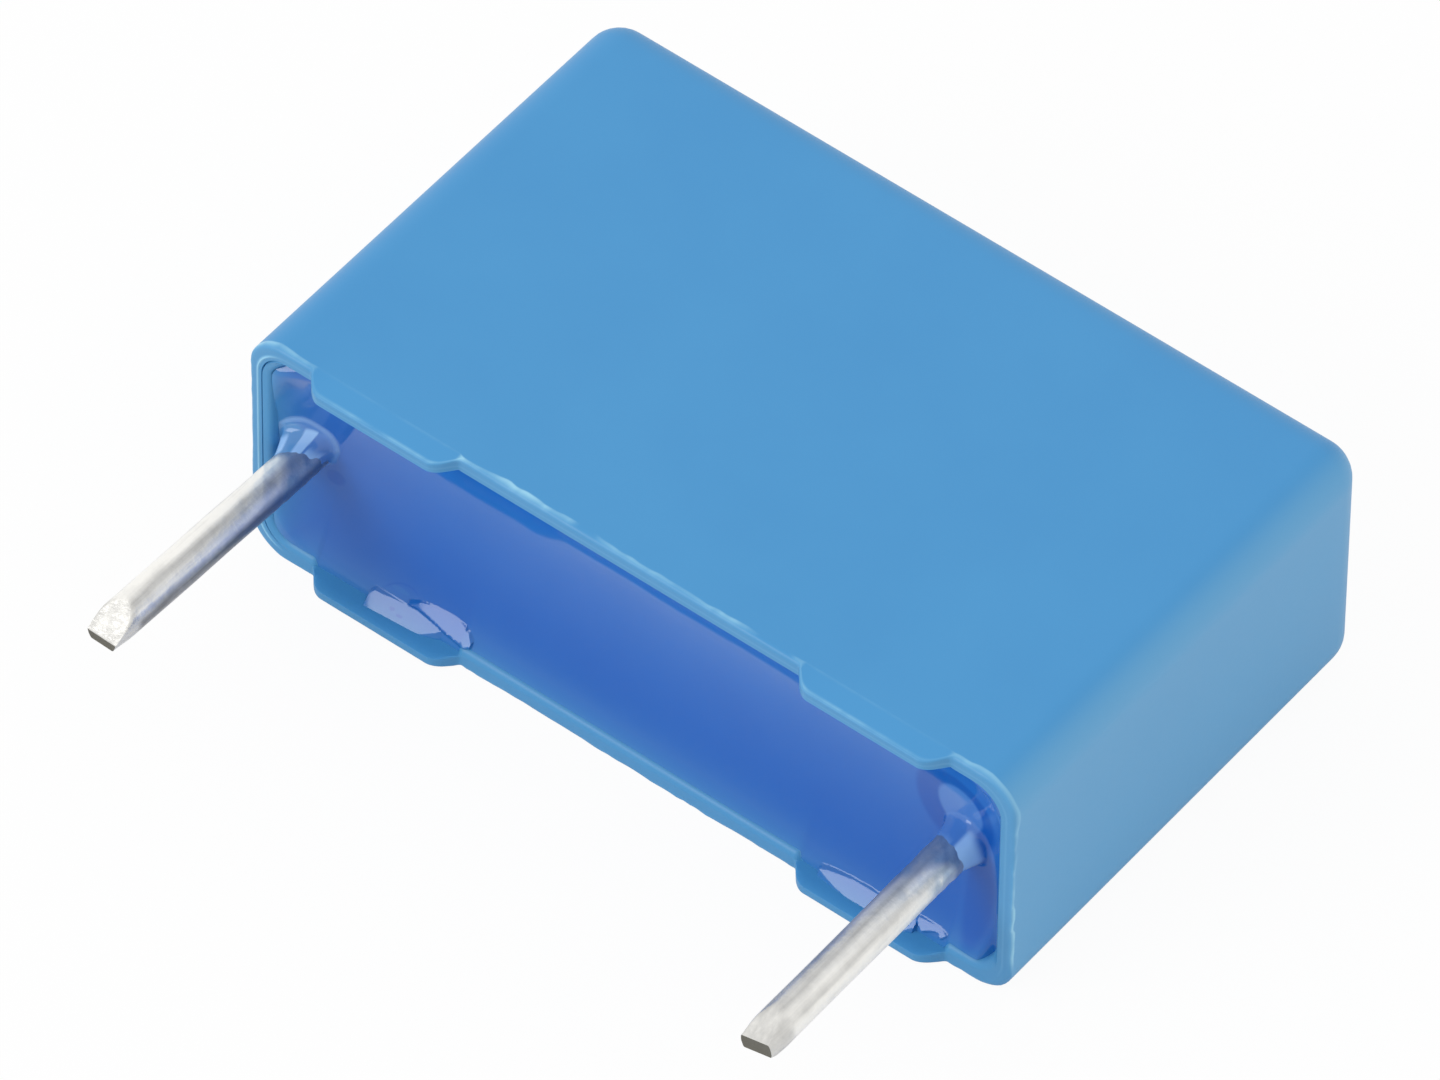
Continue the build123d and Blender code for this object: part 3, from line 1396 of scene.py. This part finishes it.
@dataclass(frozen=True)
class Collar:
    """Resin that stands round a wire: how far it reaches and how high it climbs."""

    x: float
    reach: float
    shift: float
    climb: float
    lean: float
    way_deg: float
    shelf: float
    fold: float
    # line and tint: strengths of the painted highlight along the outline and of the paler tint
    # inside it
    line: float
    tint: float
    painted_glints: tuple[PaintedGlint, ...]
    seed: int
    power: float = 2.4

    def polar(self, mouth: Mouth) -> tuple[Array, Array]:
        """Distance from the wire's centre line and turn round it."""
        return np.hypot(mouth.x - self.x, mouth.z), np.arctan2(mouth.z, mouth.x - self.x)

    def edge(self, turn: Array) -> Array:
        """Radius of the collar's wandering outline, greatest the way that it leans."""
        shifted = self.reach + self.shift * np.cos(turn - radians(self.way_deg))
        return shifted * (1 + 0.04 * wave(turn * 2.2, 1.0, self.seed))

    def height(self, mouth: Mouth) -> Array:
        """Height above the resin's level: a low shelf, then a climb to the wire.

        Formula: the shelf is a smooth step at the reach; the climb grows with a power of the
        way from the reach to the wire, more on the side it leans to, and folds of four waves
        round the wire bend it.  A power above 1 makes it hollow.

        Args:
            mouth: The places.

        Returns:
            The collar's height at each place.
        """
        away, turn = self.polar(mouth)
        reach = self.edge(turn)
        shelf = self.shelf * smooth_step(reach, reach - 0.1, away)
        near = np.clip((reach - 0.08 - away) / np.maximum(reach - 0.44, 0.08), 0, 1)
        bent = near + self.fold * np.sin(4 * turn + self.seed) * near * (1 - near) * 2
        climb = self.climb * (1 + self.lean * np.cos(turn - radians(self.way_deg)))
        return shelf + climb * np.clip(bent, 0, 1) ** self.power

    def skin(self, mouth: Mouth) -> Array:
        """Share of painted highlight: a fine line along the outline, a paler tint inside it, both
        stronger on the upper side, and the glints.

        Args:
            mouth: The places.

        Returns:
            The share at each place, from 0 to 1.
        """
        away, turn = self.polar(mouth)
        gap = away - self.edge(turn) + 0.05
        share = self.line * np.exp(-((gap / 0.03) ** 2)) + self.tint * smooth_step(0.0, -0.05, gap)
        share = share * np.clip(0.6 + 0.6 * np.sin(turn + 0.3), 0, 1)
        for glint in self.painted_glints:
            beyond = turn - radians(glint.turn_deg)
            off = np.degrees(np.arctan2(np.sin(beyond), np.cos(beyond)))
            band = smooth_step(glint.outer, glint.outer - 0.09, away)
            band = band * smooth_step(glint.inner - 0.04, glint.inner, away)
            petal = smooth_step(1.15, 0.85, np.abs(off) / glint.width_deg)
            share = np.maximum(share, glint.share * petal * band)
        return share


LEFT_PAINTED_GLINTS = (
    PaintedGlint(150, 26, 0.41, 0.60, 0.95),
    PaintedGlint(86, 12, 0.38, 0.64, 1.0),
    PaintedGlint(48, 20, 0.37, 0.47, 0.9),
)
RIGHT_PAINTED_GLINTS = (
    PaintedGlint(15, 54, 0.36, 0.55, 0.95),
    PaintedGlint(118, 38, 0.36, 0.44, 0.55),
)


@dataclass(frozen=True)
class Patch:
    """A soft oval on the resin: its middle, z above the lower face, half sizes and strength."""

    x: float
    z: float
    half_x: float
    half_z: float
    share: float
    soft: float = 0.15

    def cover(self, mouth: Mouth) -> Array:
        """Strength of the oval at each place."""
        away = np.hypot((mouth.x - self.x) / self.half_x, (mouth.up - self.z) / self.half_z)
        return self.share * smooth_step(1 + self.soft, 1 - self.soft, away)


@dataclass(frozen=True)
class Pool:
    """Resin that has run up the inner side of a lower foot: a flat ramp with steep edges.

    The edges are given as heights above the part's lower face at knots along X.
    """

    knots: tuple[float, ...]
    low: tuple[float, ...]
    top: tuple[float, ...]
    reach: float
    slope: float
    tilt: float = 0.0
    left: float = 5.0
    right: float = 5.0
    above: float = 2.2
    below: float = -0.65
    root_z: float = 0.3

    def height(self, mouth: Mouth) -> Array:
        """Height of the ramp in front of the rim's plane.

        Formula: a plane that falls by the slope from its root height and by the tilt along X,
        changed by a slope of its own beyond each of its four edges.

        Args:
            mouth: The places.

        Returns:
            The ramp's height at each place; far below the resin where there is no ramp.
        """
        x, z = mouth.x, mouth.up
        low, top = np.interp(x, self.knots, self.low), np.interp(x, self.knots, self.top)
        first, last = self.knots[0], self.knots[-1]
        plane = self.reach - self.slope * (z - self.root_z) - self.tilt * (x - first)
        plane = plane + self.below * np.maximum(low - z, 0) - self.above * np.maximum(z - top, 0)
        return plane - self.left * np.maximum(first - x, 0) - self.right * np.maximum(x - last, 0)


LEFT_SHEET = Pool(
    (-6.06, -6.0, -5.5, -5.0, -4.75, -4.5, -4.39),
    (0.28, 0.27, 0.28, 0.29, 0.32, 0.42, 0.49),
    (0.48, 0.54, 0.56, 0.55, 0.53, 0.51, 0.50),
    reach=0.165, slope=1.12, tilt=0.062, left=9.0, above=1.8,
)
LEFT_TONGUE = Pool(
    (-5.25, -5.02, -4.8, -4.58, -4.37, -4.2, -4.03, -3.85, -3.74),
    (0.645, 0.66, 0.635, 0.605, 0.565, 0.55, 0.53, 0.50, 0.56),
    (0.65, 0.75, 0.80, 0.82, 0.83, 0.83, 0.80, 0.73, 0.62),
    reach=0.15, slope=0.86, below=-1.25,
)
RIGHT_SHEET = Pool(
    (4.41, 4.6, 4.85, 5.12, 5.46, 5.75),
    (0.425, 0.38, 0.33, 0.305, 0.28, 0.28),
    (0.43, 0.48, 0.51, 0.54, 0.55, 0.54),
    reach=0.12, slope=1.1,
)
RIGHT_MIDDLE = Pool(
    (5.8, 6.4, 6.6), (0.28, 0.28, 0.40), (0.55, 0.56, 0.58), reach=0.12, slope=1.1
)
RIGHT_TONGUE = Pool(
    (6.6, 6.76, 6.9, 7.06, 7.17, 7.26),
    (0.52, 0.42, 0.48, 0.53, 0.47, 0.53),
    (0.59, 0.60, 0.60, 0.61, 0.59, 0.55),
    reach=0.13, slope=1.0, below=-2.0,
)


@dataclass(frozen=True)
class PottingResin:
    """Resin that closes the case: a shallow bowl, with a collar on each wire and two pools."""

    depth: float = 0.67
    bowl: float = 0.32
    bowl_width: float = 1.6
    lower_rise: float = 0.14
    left_rise: float = 0.45
    right_rise: float = 0.25
    fade: float = 0.5
    highest: float = -0.06
    right_highest: float = -0.27
    left_inset: float = 0.475
    pools: tuple[Pool, ...] = (LEFT_SHEET, LEFT_TONGUE, RIGHT_SHEET, RIGHT_MIDDLE, RIGHT_TONGUE)
    paler: tuple[Patch, ...] = (
        Patch(-8.12, 3.12, 0.45, 0.42, 0.7, 0.12),
        Patch(-5.5, 0.72, 0.22, 0.05, 0.25),
    )
    # painted highlight: a paler lens inside the painted dark arch at the right wire
    lens: Patch = Patch(7.15, 3.62, 0.52, 0.62, 0.17, 0.1)
    # painted shade: the dark arch and a patch at the right wire, a patch by the left collar and two
    # spots at the left foot
    painted_dark_patches: tuple[Patch, ...] = (
        Patch(7.05, 3.55, 0.93, 1.04, 0.95, 0.08),
        Patch(7.72, 1.75, 0.34, 1.15, 0.8, 0.2),
        Patch(-7.27, 2.3, 0.2, 0.17, 0.7, 0.2),
        Patch(-5.5, 0.43, 0.06, 0.022, 0.8),
        Patch(-5.31, 0.39, 0.07, 0.02, 0.8),
    )
    ripple_height: float = 0.006
    pool_blend: float = 0.006
    wall_steps: tuple[float, ...] = (0.0, 0.012, 0.03, 0.055, 0.085, 0.12, 0.16, 0.21, 0.27)
    least_step: float = 0.011
    pocket_gap: float = 0.005
    pocket_columns: int = 48
    pocket_rows: int = 9

    def lower_inset(self, case: MouldedCase, x: Array) -> Array:
        """Where the resin ends at the lower wall: on its rounded rim, or on a foot's side."""
        quick = np.clip(4 * case.foot(x), 0, 1)
        return self.left_inset + (case.wall - case.chamfer - self.left_inset) * quick

    def columns(self, case: MouldedCase, collars: Sequence[Collar]) -> Array:
        """Columns of the resin's face, close at the wires, the pools and the end walls.

        Args:
            case: The case it fills.
            collars: The collars on the wires.

        Returns:
            Their places along the mouth, from the left edge to the right one.
        """
        first, last = -case.half_length + self.left_inset, case.half_length - case.wall
        ends = np.array(self.wall_steps)
        zones = ((-7.4, -6.1, 0.035), (-6.1, -3.6, 0.018), (4.2, 7.5, 0.025), (-3.6, 4.2, 0.09))
        near = [np.arange(c.x - 0.78, c.x + 0.78, 0.022) for c in collars]
        x = np.concatenate([*near, *(np.arange(*zone) for zone in zones), first + ends, last - ends])
        x = np.sort(x[(x >= first) & (x <= last)])
        x = x[np.concatenate([[True], np.diff(x) > self.least_step])]
        x[0], x[-1] = first, last
        return x

    def rows(self) -> Array:
        """Rows of the resin's face, from -1 at its lower edge to 1 at its upper one."""
        lower = np.concatenate([np.arange(0, 0.26, 0.0062), np.arange(0.26, 0.7, 0.028)]) - 1
        middle, upper = np.arange(-0.3, 0.34, 0.0098), np.arange(0.36, 0.88, 0.026)
        return np.concatenate([lower, middle, upper, 1 - np.array(self.wall_steps)[::-1] / 2.3])

    def mouth(self, case: MouldedCase, collars: Sequence[Collar]) -> Mouth:
        """Lays the net of the resin's face over the case's mouth.

        Formula: the columns stand along X, and each row is the same share of the way from the
        middle plane to the rounded outline's edge at its column.

        Args:
            case: The case it fills.
            collars: The collars on the wires.

        Returns:
            The places, a row of them for each column of the net.
        """
        a, corner = case.half_length - case.wall, case.inner_corner_radius
        first = -case.half_length + self.left_inset
        x, v = np.meshgrid(self.columns(case, collars), self.rows(), indexing="ij")
        inset = np.where(v < 0, self.lower_inset(case, x), case.wall)
        out = np.clip(np.where(x < 0, first + corner - x, x - (a - corner)), 0, corner)
        arc = np.sqrt(np.maximum(corner**2 - out**2, 0))
        z = v * (case.half_thickness - inset - corner + arc)
        gaps = (
            x + case.half_length - self.left_inset,
            case.half_length - case.wall - x,
            z + case.half_thickness - self.lower_inset(case, x),
        )
        return Mouth(case, x, z, *(np.maximum(gap, 0) for gap in gaps))

    def relief(self, mouth: Mouth) -> Array:
        """Height of the resin in front of the rim's plane, without the collars.

        Formula: a cosh across the thickness and an exponential at each wall, held below the
        rim, and the greater of that and each pool.

        Args:
            mouth: The places.

        Returns:
            The height at each place, below 0 behind the rim.
        """
        case, left, right, lower = mouth.case, mouth.left, mouth.right, mouth.lower
        across = self.bowl * (np.cosh(mouth.z / self.bowl_width) - 1)
        rise = self.left_rise * np.exp(-left / self.fade)
        rise = rise + self.right_rise * np.exp(-right / self.fade)
        rise = rise + self.lower_rise * np.exp(-lower / self.fade)
        highest = self.highest + 0.11 * case.foot(mouth.x) * smooth_step(0.3, 0.0, lower)
        upper = np.maximum(case.half_thickness - case.wall - mouth.z, 0)
        edge = smooth_step(0.0, 0.35, np.minimum(right, upper))
        highest = np.minimum(highest, self.right_highest + 0.22 * edge)
        height = soft_min(across + rise - self.depth, highest, 0.1)
        inland = np.clip(np.minimum(left, right) / 0.5, 0, 1)
        height = height + self.ripple_height * ripple(mouth.x, mouth.z, 1.3, 21) * inland
        for pool in self.pools:
            height = -soft_min(-height, -pool.height(mouth), self.pool_blend)
        return np.minimum(height, 0.3)

    def painted_dark_line(self, mouth: Mouth) -> Array:
        """Share of the painted dark line between the left foot's sheet and tongue, a gap in their
        reflection.

        Args:
            mouth: The places.

        Returns:
            The share, from 0 to 1.
        """
        run = smooth_step(-5.35, -5.1, mouth.x) * smooth_step(-4.25, -4.4, mouth.x)
        line = 0.595 - 0.09 * (mouth.x + 4.6)
        return run * np.exp(-(((mouth.up - line) / 0.013) ** 2))

    def painted_dark_bow(self, mouth: Mouth) -> Array:
        """Share of the painted dark bow above the left foot's sheet, a parabola along X.

        Args:
            mouth: The places.

        Returns:
            The share, from 0 to 1.
        """
        run = smooth_step(-5.9, -5.75, mouth.x) * smooth_step(-5.1, -5.2, mouth.x)
        line = 0.87 - 1.02 * (mouth.x + 5.35) ** 2
        return run * np.exp(-(((mouth.up - line) / 0.022) ** 2))

    def marks(self, mouth: Mouth, collars: Sequence[Collar]) -> dict[str, Array]:
        """Shares of the resin's film, painted highlight and painted shade at each place.

        Args:
            mouth: The places.
            collars: The collars on the wires.

        Returns:
            The shares by name.
        """
        # film: resin film at the walls and in the paler patches, in the colour of the case in shade,
        # so partly painted shade
        film = np.maximum(0.9 * np.exp(-mouth.left / 0.33), 0.55 * np.exp(-mouth.lower / 0.33))
        film = np.maximum(film, 0.35 * np.exp(-mouth.right / 0.1))
        for patch in self.paler:
            film = np.maximum(film, patch.cover(mouth))
        # painted highlights: the lens and the collars' lines and glints
        lens = self.lens.cover(mouth)
        skin = lens
        for collar in collars:
            skin = np.maximum(skin, collar.skin(mouth))
        # painted shade: dark patches, the dark bow and the dark line
        deep = 0 * mouth.x
        for patch in self.painted_dark_patches:
            deep = np.maximum(deep, patch.cover(mouth))
        deep = deep * (1 - lens / self.lens.share)
        for line in (self.painted_dark_bow(mouth), self.painted_dark_line(mouth)):
            deep = np.maximum(deep, 0.6 * line)
        return {"film": film, "skin": skin, "deep": deep}

    def block(self, case: MouldedCase, edge: Array, loop: Array, first: int) -> tuple[Array, Faces]:
        """Body of the resin behind its open face, down to the closed top.

        Formula: the face's edge is carried back in two steps, each held inside the cavity.  The
        sides look outwards, and the one face that closes the last ring looks along -Y.

        Args:
            case: The case it fills.
            edge: Points of the face's edge, one turn.
            loop: Their numbers.
            first: Number of the block's first point.

        Returns:
            Its points and faces.
        """
        end = case.high[1] - case.top_wall - 0.02
        inward = case.wall - 0.01 + (end - case.rim_y) * tan(radians(case.draft_deg))
        a, b = case.half_length - inward, case.half_thickness - inward
        x, z = np.clip(edge[:, 0], -a, a), np.clip(edge[:, 2] - case.middle_z, -b, b)
        count = len(loop)
        lip = np.stack([x, np.full(count, case.chamfer_y + 0.1), z + case.middle_z], -1)
        base = lip.copy()
        base[:, 1] = end
        near = first + np.arange(count)
        far = near + count
        skirt = np.stack([loop, near, np.roll(near, -1), np.roll(loop, -1)], 1)
        walls = np.stack([near, far, np.roll(far, -1), np.roll(near, -1)], 1)
        return np.concatenate([lip, base]), skirt.tolist() + walls.tolist() + [far.tolist()]

    def pocket(self, first: int) -> tuple[Array, Faces]:
        """Inner skin of the resin round the winding and its two end contacts.

        Formula: a slot-shaped outline, carried along X and closed at both ends.  Its sides look
        into the pocket, and its two ends look away from it.

        Args:
            first: Number of its first point.

        Returns:
            Its points and faces.
        """
        corners = [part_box(part.value) for part in CONTACTS]
        low = np.minimum(*(np.array(box[0]) for box in corners)) / MM - self.pocket_gap
        high = np.maximum(*(np.array(box[1]) for box in corners)) / MM + self.pocket_gap
        count, rows = self.pocket_columns, self.pocket_rows
        radius = (high[2] - low[2]) / 2
        turn = np.linspace(0, 2 * pi, count, endpoint=False)
        run = ((high[1] - low[1]) / 2 - radius) * np.clip(np.cos(turn) * 50, -1, 1)
        y = (high[1] + low[1]) / 2 + radius * np.cos(turn) + run
        z = (high[2] + low[2]) / 2 + radius * np.sin(turn)
        x = np.linspace(low[0], high[0], rows)[:, None] + 0 * turn
        points = np.stack([x, y + 0 * x, z + 0 * x], -1).reshape(-1, 3)
        faces = net_faces(rows, count, True, first) + end_faces(count, first, True)
        faces += end_faces(count, first + (rows - 1) * count, False)
        return points, [face[::-1] for face in faces]

    def build(
        self, case: MouldedCase, collars: Sequence[Collar], finish: Finish
    ) -> bpy.types.Object:
        """Makes the resin's open face as a relief over the mouth, closed behind.

        The faces of the relief are numbered to look along +Y, into the resin.

        Args:
            case: The case it fills.
            collars: The collars on the wires.
            finish: The cast resin.

        Returns:
            The resin.
        """
        mouth = self.mouth(case, collars)
        height = self.relief(mouth)
        inland = np.clip(np.minimum(mouth.left, mouth.right) / 0.15, 0, 1)
        for collar in collars:
            height = height + collar.height(mouth) * inland
        front = np.stack([mouth.x, case.rim_y - height, mouth.up], -1).reshape(-1, 3)
        number = np.arange(len(front)).reshape(mouth.x.shape)
        sides = (number[:, 0], number[-1, 1:], number[-2::-1, -1], number[0, -2:0:-1])
        loop = np.concatenate(sides)
        faces = net_faces(*mouth.x.shape, False)
        back, back_faces = self.block(case, front[loop], loop, len(front))
        hollow, hollow_faces = self.pocket(len(front) + len(back))
        points = np.concatenate([front, back, hollow])
        rest = np.zeros(len(back) + len(hollow))
        marks = self.marks(mouth, collars)
        marks = {name: np.concatenate([mark.ravel(), rest]) for name, mark in marks.items()}
        faces += back_faces + hollow_faces
        piece = make_piece("potting_resin", points, faces, finish, 50, marks, loop)
        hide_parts("resin_fill")
        return piece


def dress_inner_part(part: InnerPart) -> bpy.types.Object:
    """Gives a CAD node its finish.

    Args:
        part: Which node.

    Returns:
        The node's object.
    """
    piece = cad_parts[part.value]
    finish = WoundFilm() if part is InnerPart.FILM_WINDING else SprayedMetal()
    piece.data.materials.clear()
    piece.data.materials.append(finish.material())
    return piece


# ---- floor, light and camera -------------------------------------------------------------


def direction(azimuth_deg: float, elevation_deg: float) -> Array:
    """Unit vector towards a place that stands round the part.

    Args:
        azimuth_deg: Its azimuth, from -Y towards +X.
        elevation_deg: Its elevation above the floor.

    Returns:
        The vector.
    """
    azimuth, elevation = radians(azimuth_deg), radians(elevation_deg)
    level = cos(elevation)
    return np.array([sin(azimuth) * level, -cos(azimuth) * level, sin(elevation)])


def stand(
    name: str, data: bpy.types.ID, place: Array, back: Array, roll: float = 0.0
) -> bpy.types.Object:
    """Puts a camera or lamp into the scene, looking along -back.

    Formula: right is level and square to back, up is back x right, and both turn by roll.

    Args:
        name: Its name.
        data: The camera or lamp.
        place: Where it stands, in millimetres.
        back: Unit vector from what it looks at towards it.
        roll: Turn about its own line of sight, in radians.

    Returns:
        Its object.
    """
    right = np.array([-back[1], back[0], 0.0]) / hypot(back[0], back[1])
    up = np.cross(back, right)
    matrix = np.eye(4)
    matrix[:3, 0] = right * cos(roll) + up * sin(roll)
    matrix[:3, 1] = up * cos(roll) - right * sin(roll)
    matrix[:3, 2], matrix[:3, 3] = back, place * MM
    holder = bpy.data.objects.new(name, data)
    bpy.context.scene.collection.objects.link(holder)
    holder.matrix_world = Matrix(matrix.tolist())
    return holder


@dataclass(frozen=True)
class Softbox:
    """A square lamp that looks at the part from one direction."""

    name: str
    azimuth_deg: float
    elevation_deg: float
    distance: float
    size: float
    radiance: float

    def build(self) -> bpy.types.Object:
        """Makes the lamp.

        Returns:
            The lamp's object.
        """
        lamp = bpy.data.lights.new(self.name, "AREA")
        lamp.shape = "SQUARE"
        lamp.size = self.size * MM
        lamp.energy = self.radiance * pi * (self.size * MM) ** 2
        way = direction(self.azimuth_deg, self.elevation_deg)
        return stand(self.name, lamp, way * self.distance, way)


@dataclass
class Studio:
    """White floor, soft even light and the camera."""

    floor_size: float = 900.0
    sky: float = 0.9
    azimuth_deg: float = 37.675
    elevation_deg: float = 49.179
    roll_deg: float = 0.757
    distance: float = 348.976
    lens: float = 479.243
    aim: tuple[float, float, float] = (-0.5509, -1.8746, 2.875)
    softbox: Softbox = Softbox(
        "front_softbox", azimuth_deg=-27.8, elevation_deg=31.0, distance=400.0, size=190.0,
        radiance=4.6,
    )
    floor_gap: float = 0.002

    def build_floor(self) -> bpy.types.Object:
        """Makes the floor as a flat net just under the part.

        Returns:
            The floor.
        """
        reach = self.floor_size / 2
        line = np.linspace(-reach, reach, 5)
        x, y = np.meshgrid(line, line, indexing="ij")
        points = np.stack([x, y, 0 * x - self.floor_gap], -1).reshape(-1, 3)
        floor = make_piece("floor", points, net_faces(5, 5, False), PaleFloor(), 30)
        return floor

    def build_sky(self) -> None:
        """Even white light from all round, and white where the camera looks past the floor."""
        world = bpy.data.worlds.new("studio")
        bpy.context.scene.world = world
        world.use_nodes = True
        shader = Shader(world.node_tree)
        path = shader.node("ShaderNodeLightPath")
        seen = Value(shader, path.outputs["Is Camera Ray"])
        strength = seen + (1 - seen) * self.sky
        inputs = {"Color": (1, 1, 1, 1), "Strength": strength}
        sky = shader.value("ShaderNodeBackground", {}, inputs)
        shader.node("ShaderNodeOutputWorld", {}, {"Surface": sky})

    def build_camera(self) -> bpy.types.Object:
        """Makes the camera, which looks at the part from the right, in front and above.

        Returns:
            The camera's object.
        """
        back = direction(self.azimuth_deg, self.elevation_deg)
        camera = bpy.data.cameras.new("camera")
        camera.sensor_width = 36.0
        camera.lens = self.lens
        camera.clip_start, camera.clip_end = 0.01, 10.0
        place = back * self.distance + np.array(self.aim)
        holder = stand("camera", camera, place, back, radians(self.roll_deg))
        bpy.context.scene.camera = holder
        return holder

    def build(self) -> None:
        """Makes the floor, the light and the camera."""
        self.build_floor()
        self.build_sky()
        self.softbox.build()
        self.build_camera()
        bpy.context.scene.view_settings.view_transform = "Standard"


def main() -> None:
    """Builds the pieces in order, then the studio."""
    logging.basicConfig(level=logging.INFO, format="%(name)s: %(message)s")
    case = MouldedCase()
    leads = (
        TinnedLead(
            "lead_left", side=-1, lean_deg=1.8, tip_thickness=0.19, tip_height=-0.155,
            tip_roll_deg=0.0, painted_tones=LEFT_PAINTED_TONES, seed=40,
        ),
        TinnedLead(
            "lead_right", side=1, lean_deg=0.6, tip_thickness=0.30, tip_height=0.0,
            tip_roll_deg=13.0, painted_tones=RIGHT_PAINTED_TONES, seed=50,
        ),
    )
    left, right = leads[0].axis(), leads[1].axis()
    collars = (
        Collar(
            left, reach=0.64, shift=0.18, climb=0.5, lean=0.3, way_deg=125, shelf=0.07,
            fold=0.1, line=0.45, tint=0.2, painted_glints=LEFT_PAINTED_GLINTS, seed=61,
        ),
        Collar(
            right, reach=0.68, shift=0.04, climb=0.68, lean=0.05, way_deg=10, shelf=0.0,
            fold=0.1, line=0.0, tint=0.05, painted_glints=RIGHT_PAINTED_GLINTS, seed=62, power=2.1,
        ),
    )
    pieces = [case.build(CasePlastic()), PottingResin().build(case, collars, CastResin())]
    pieces += [lead.build(case, TinnedWire()) for lead in leads]
    pieces += [dress_inner_part(part) for part in InnerPart]
    for piece in pieces:
        log.info("%s: %d faces", piece.name, len(piece.data.polygons))
    Studio().build()


if __name__ == "__main__":
    main()
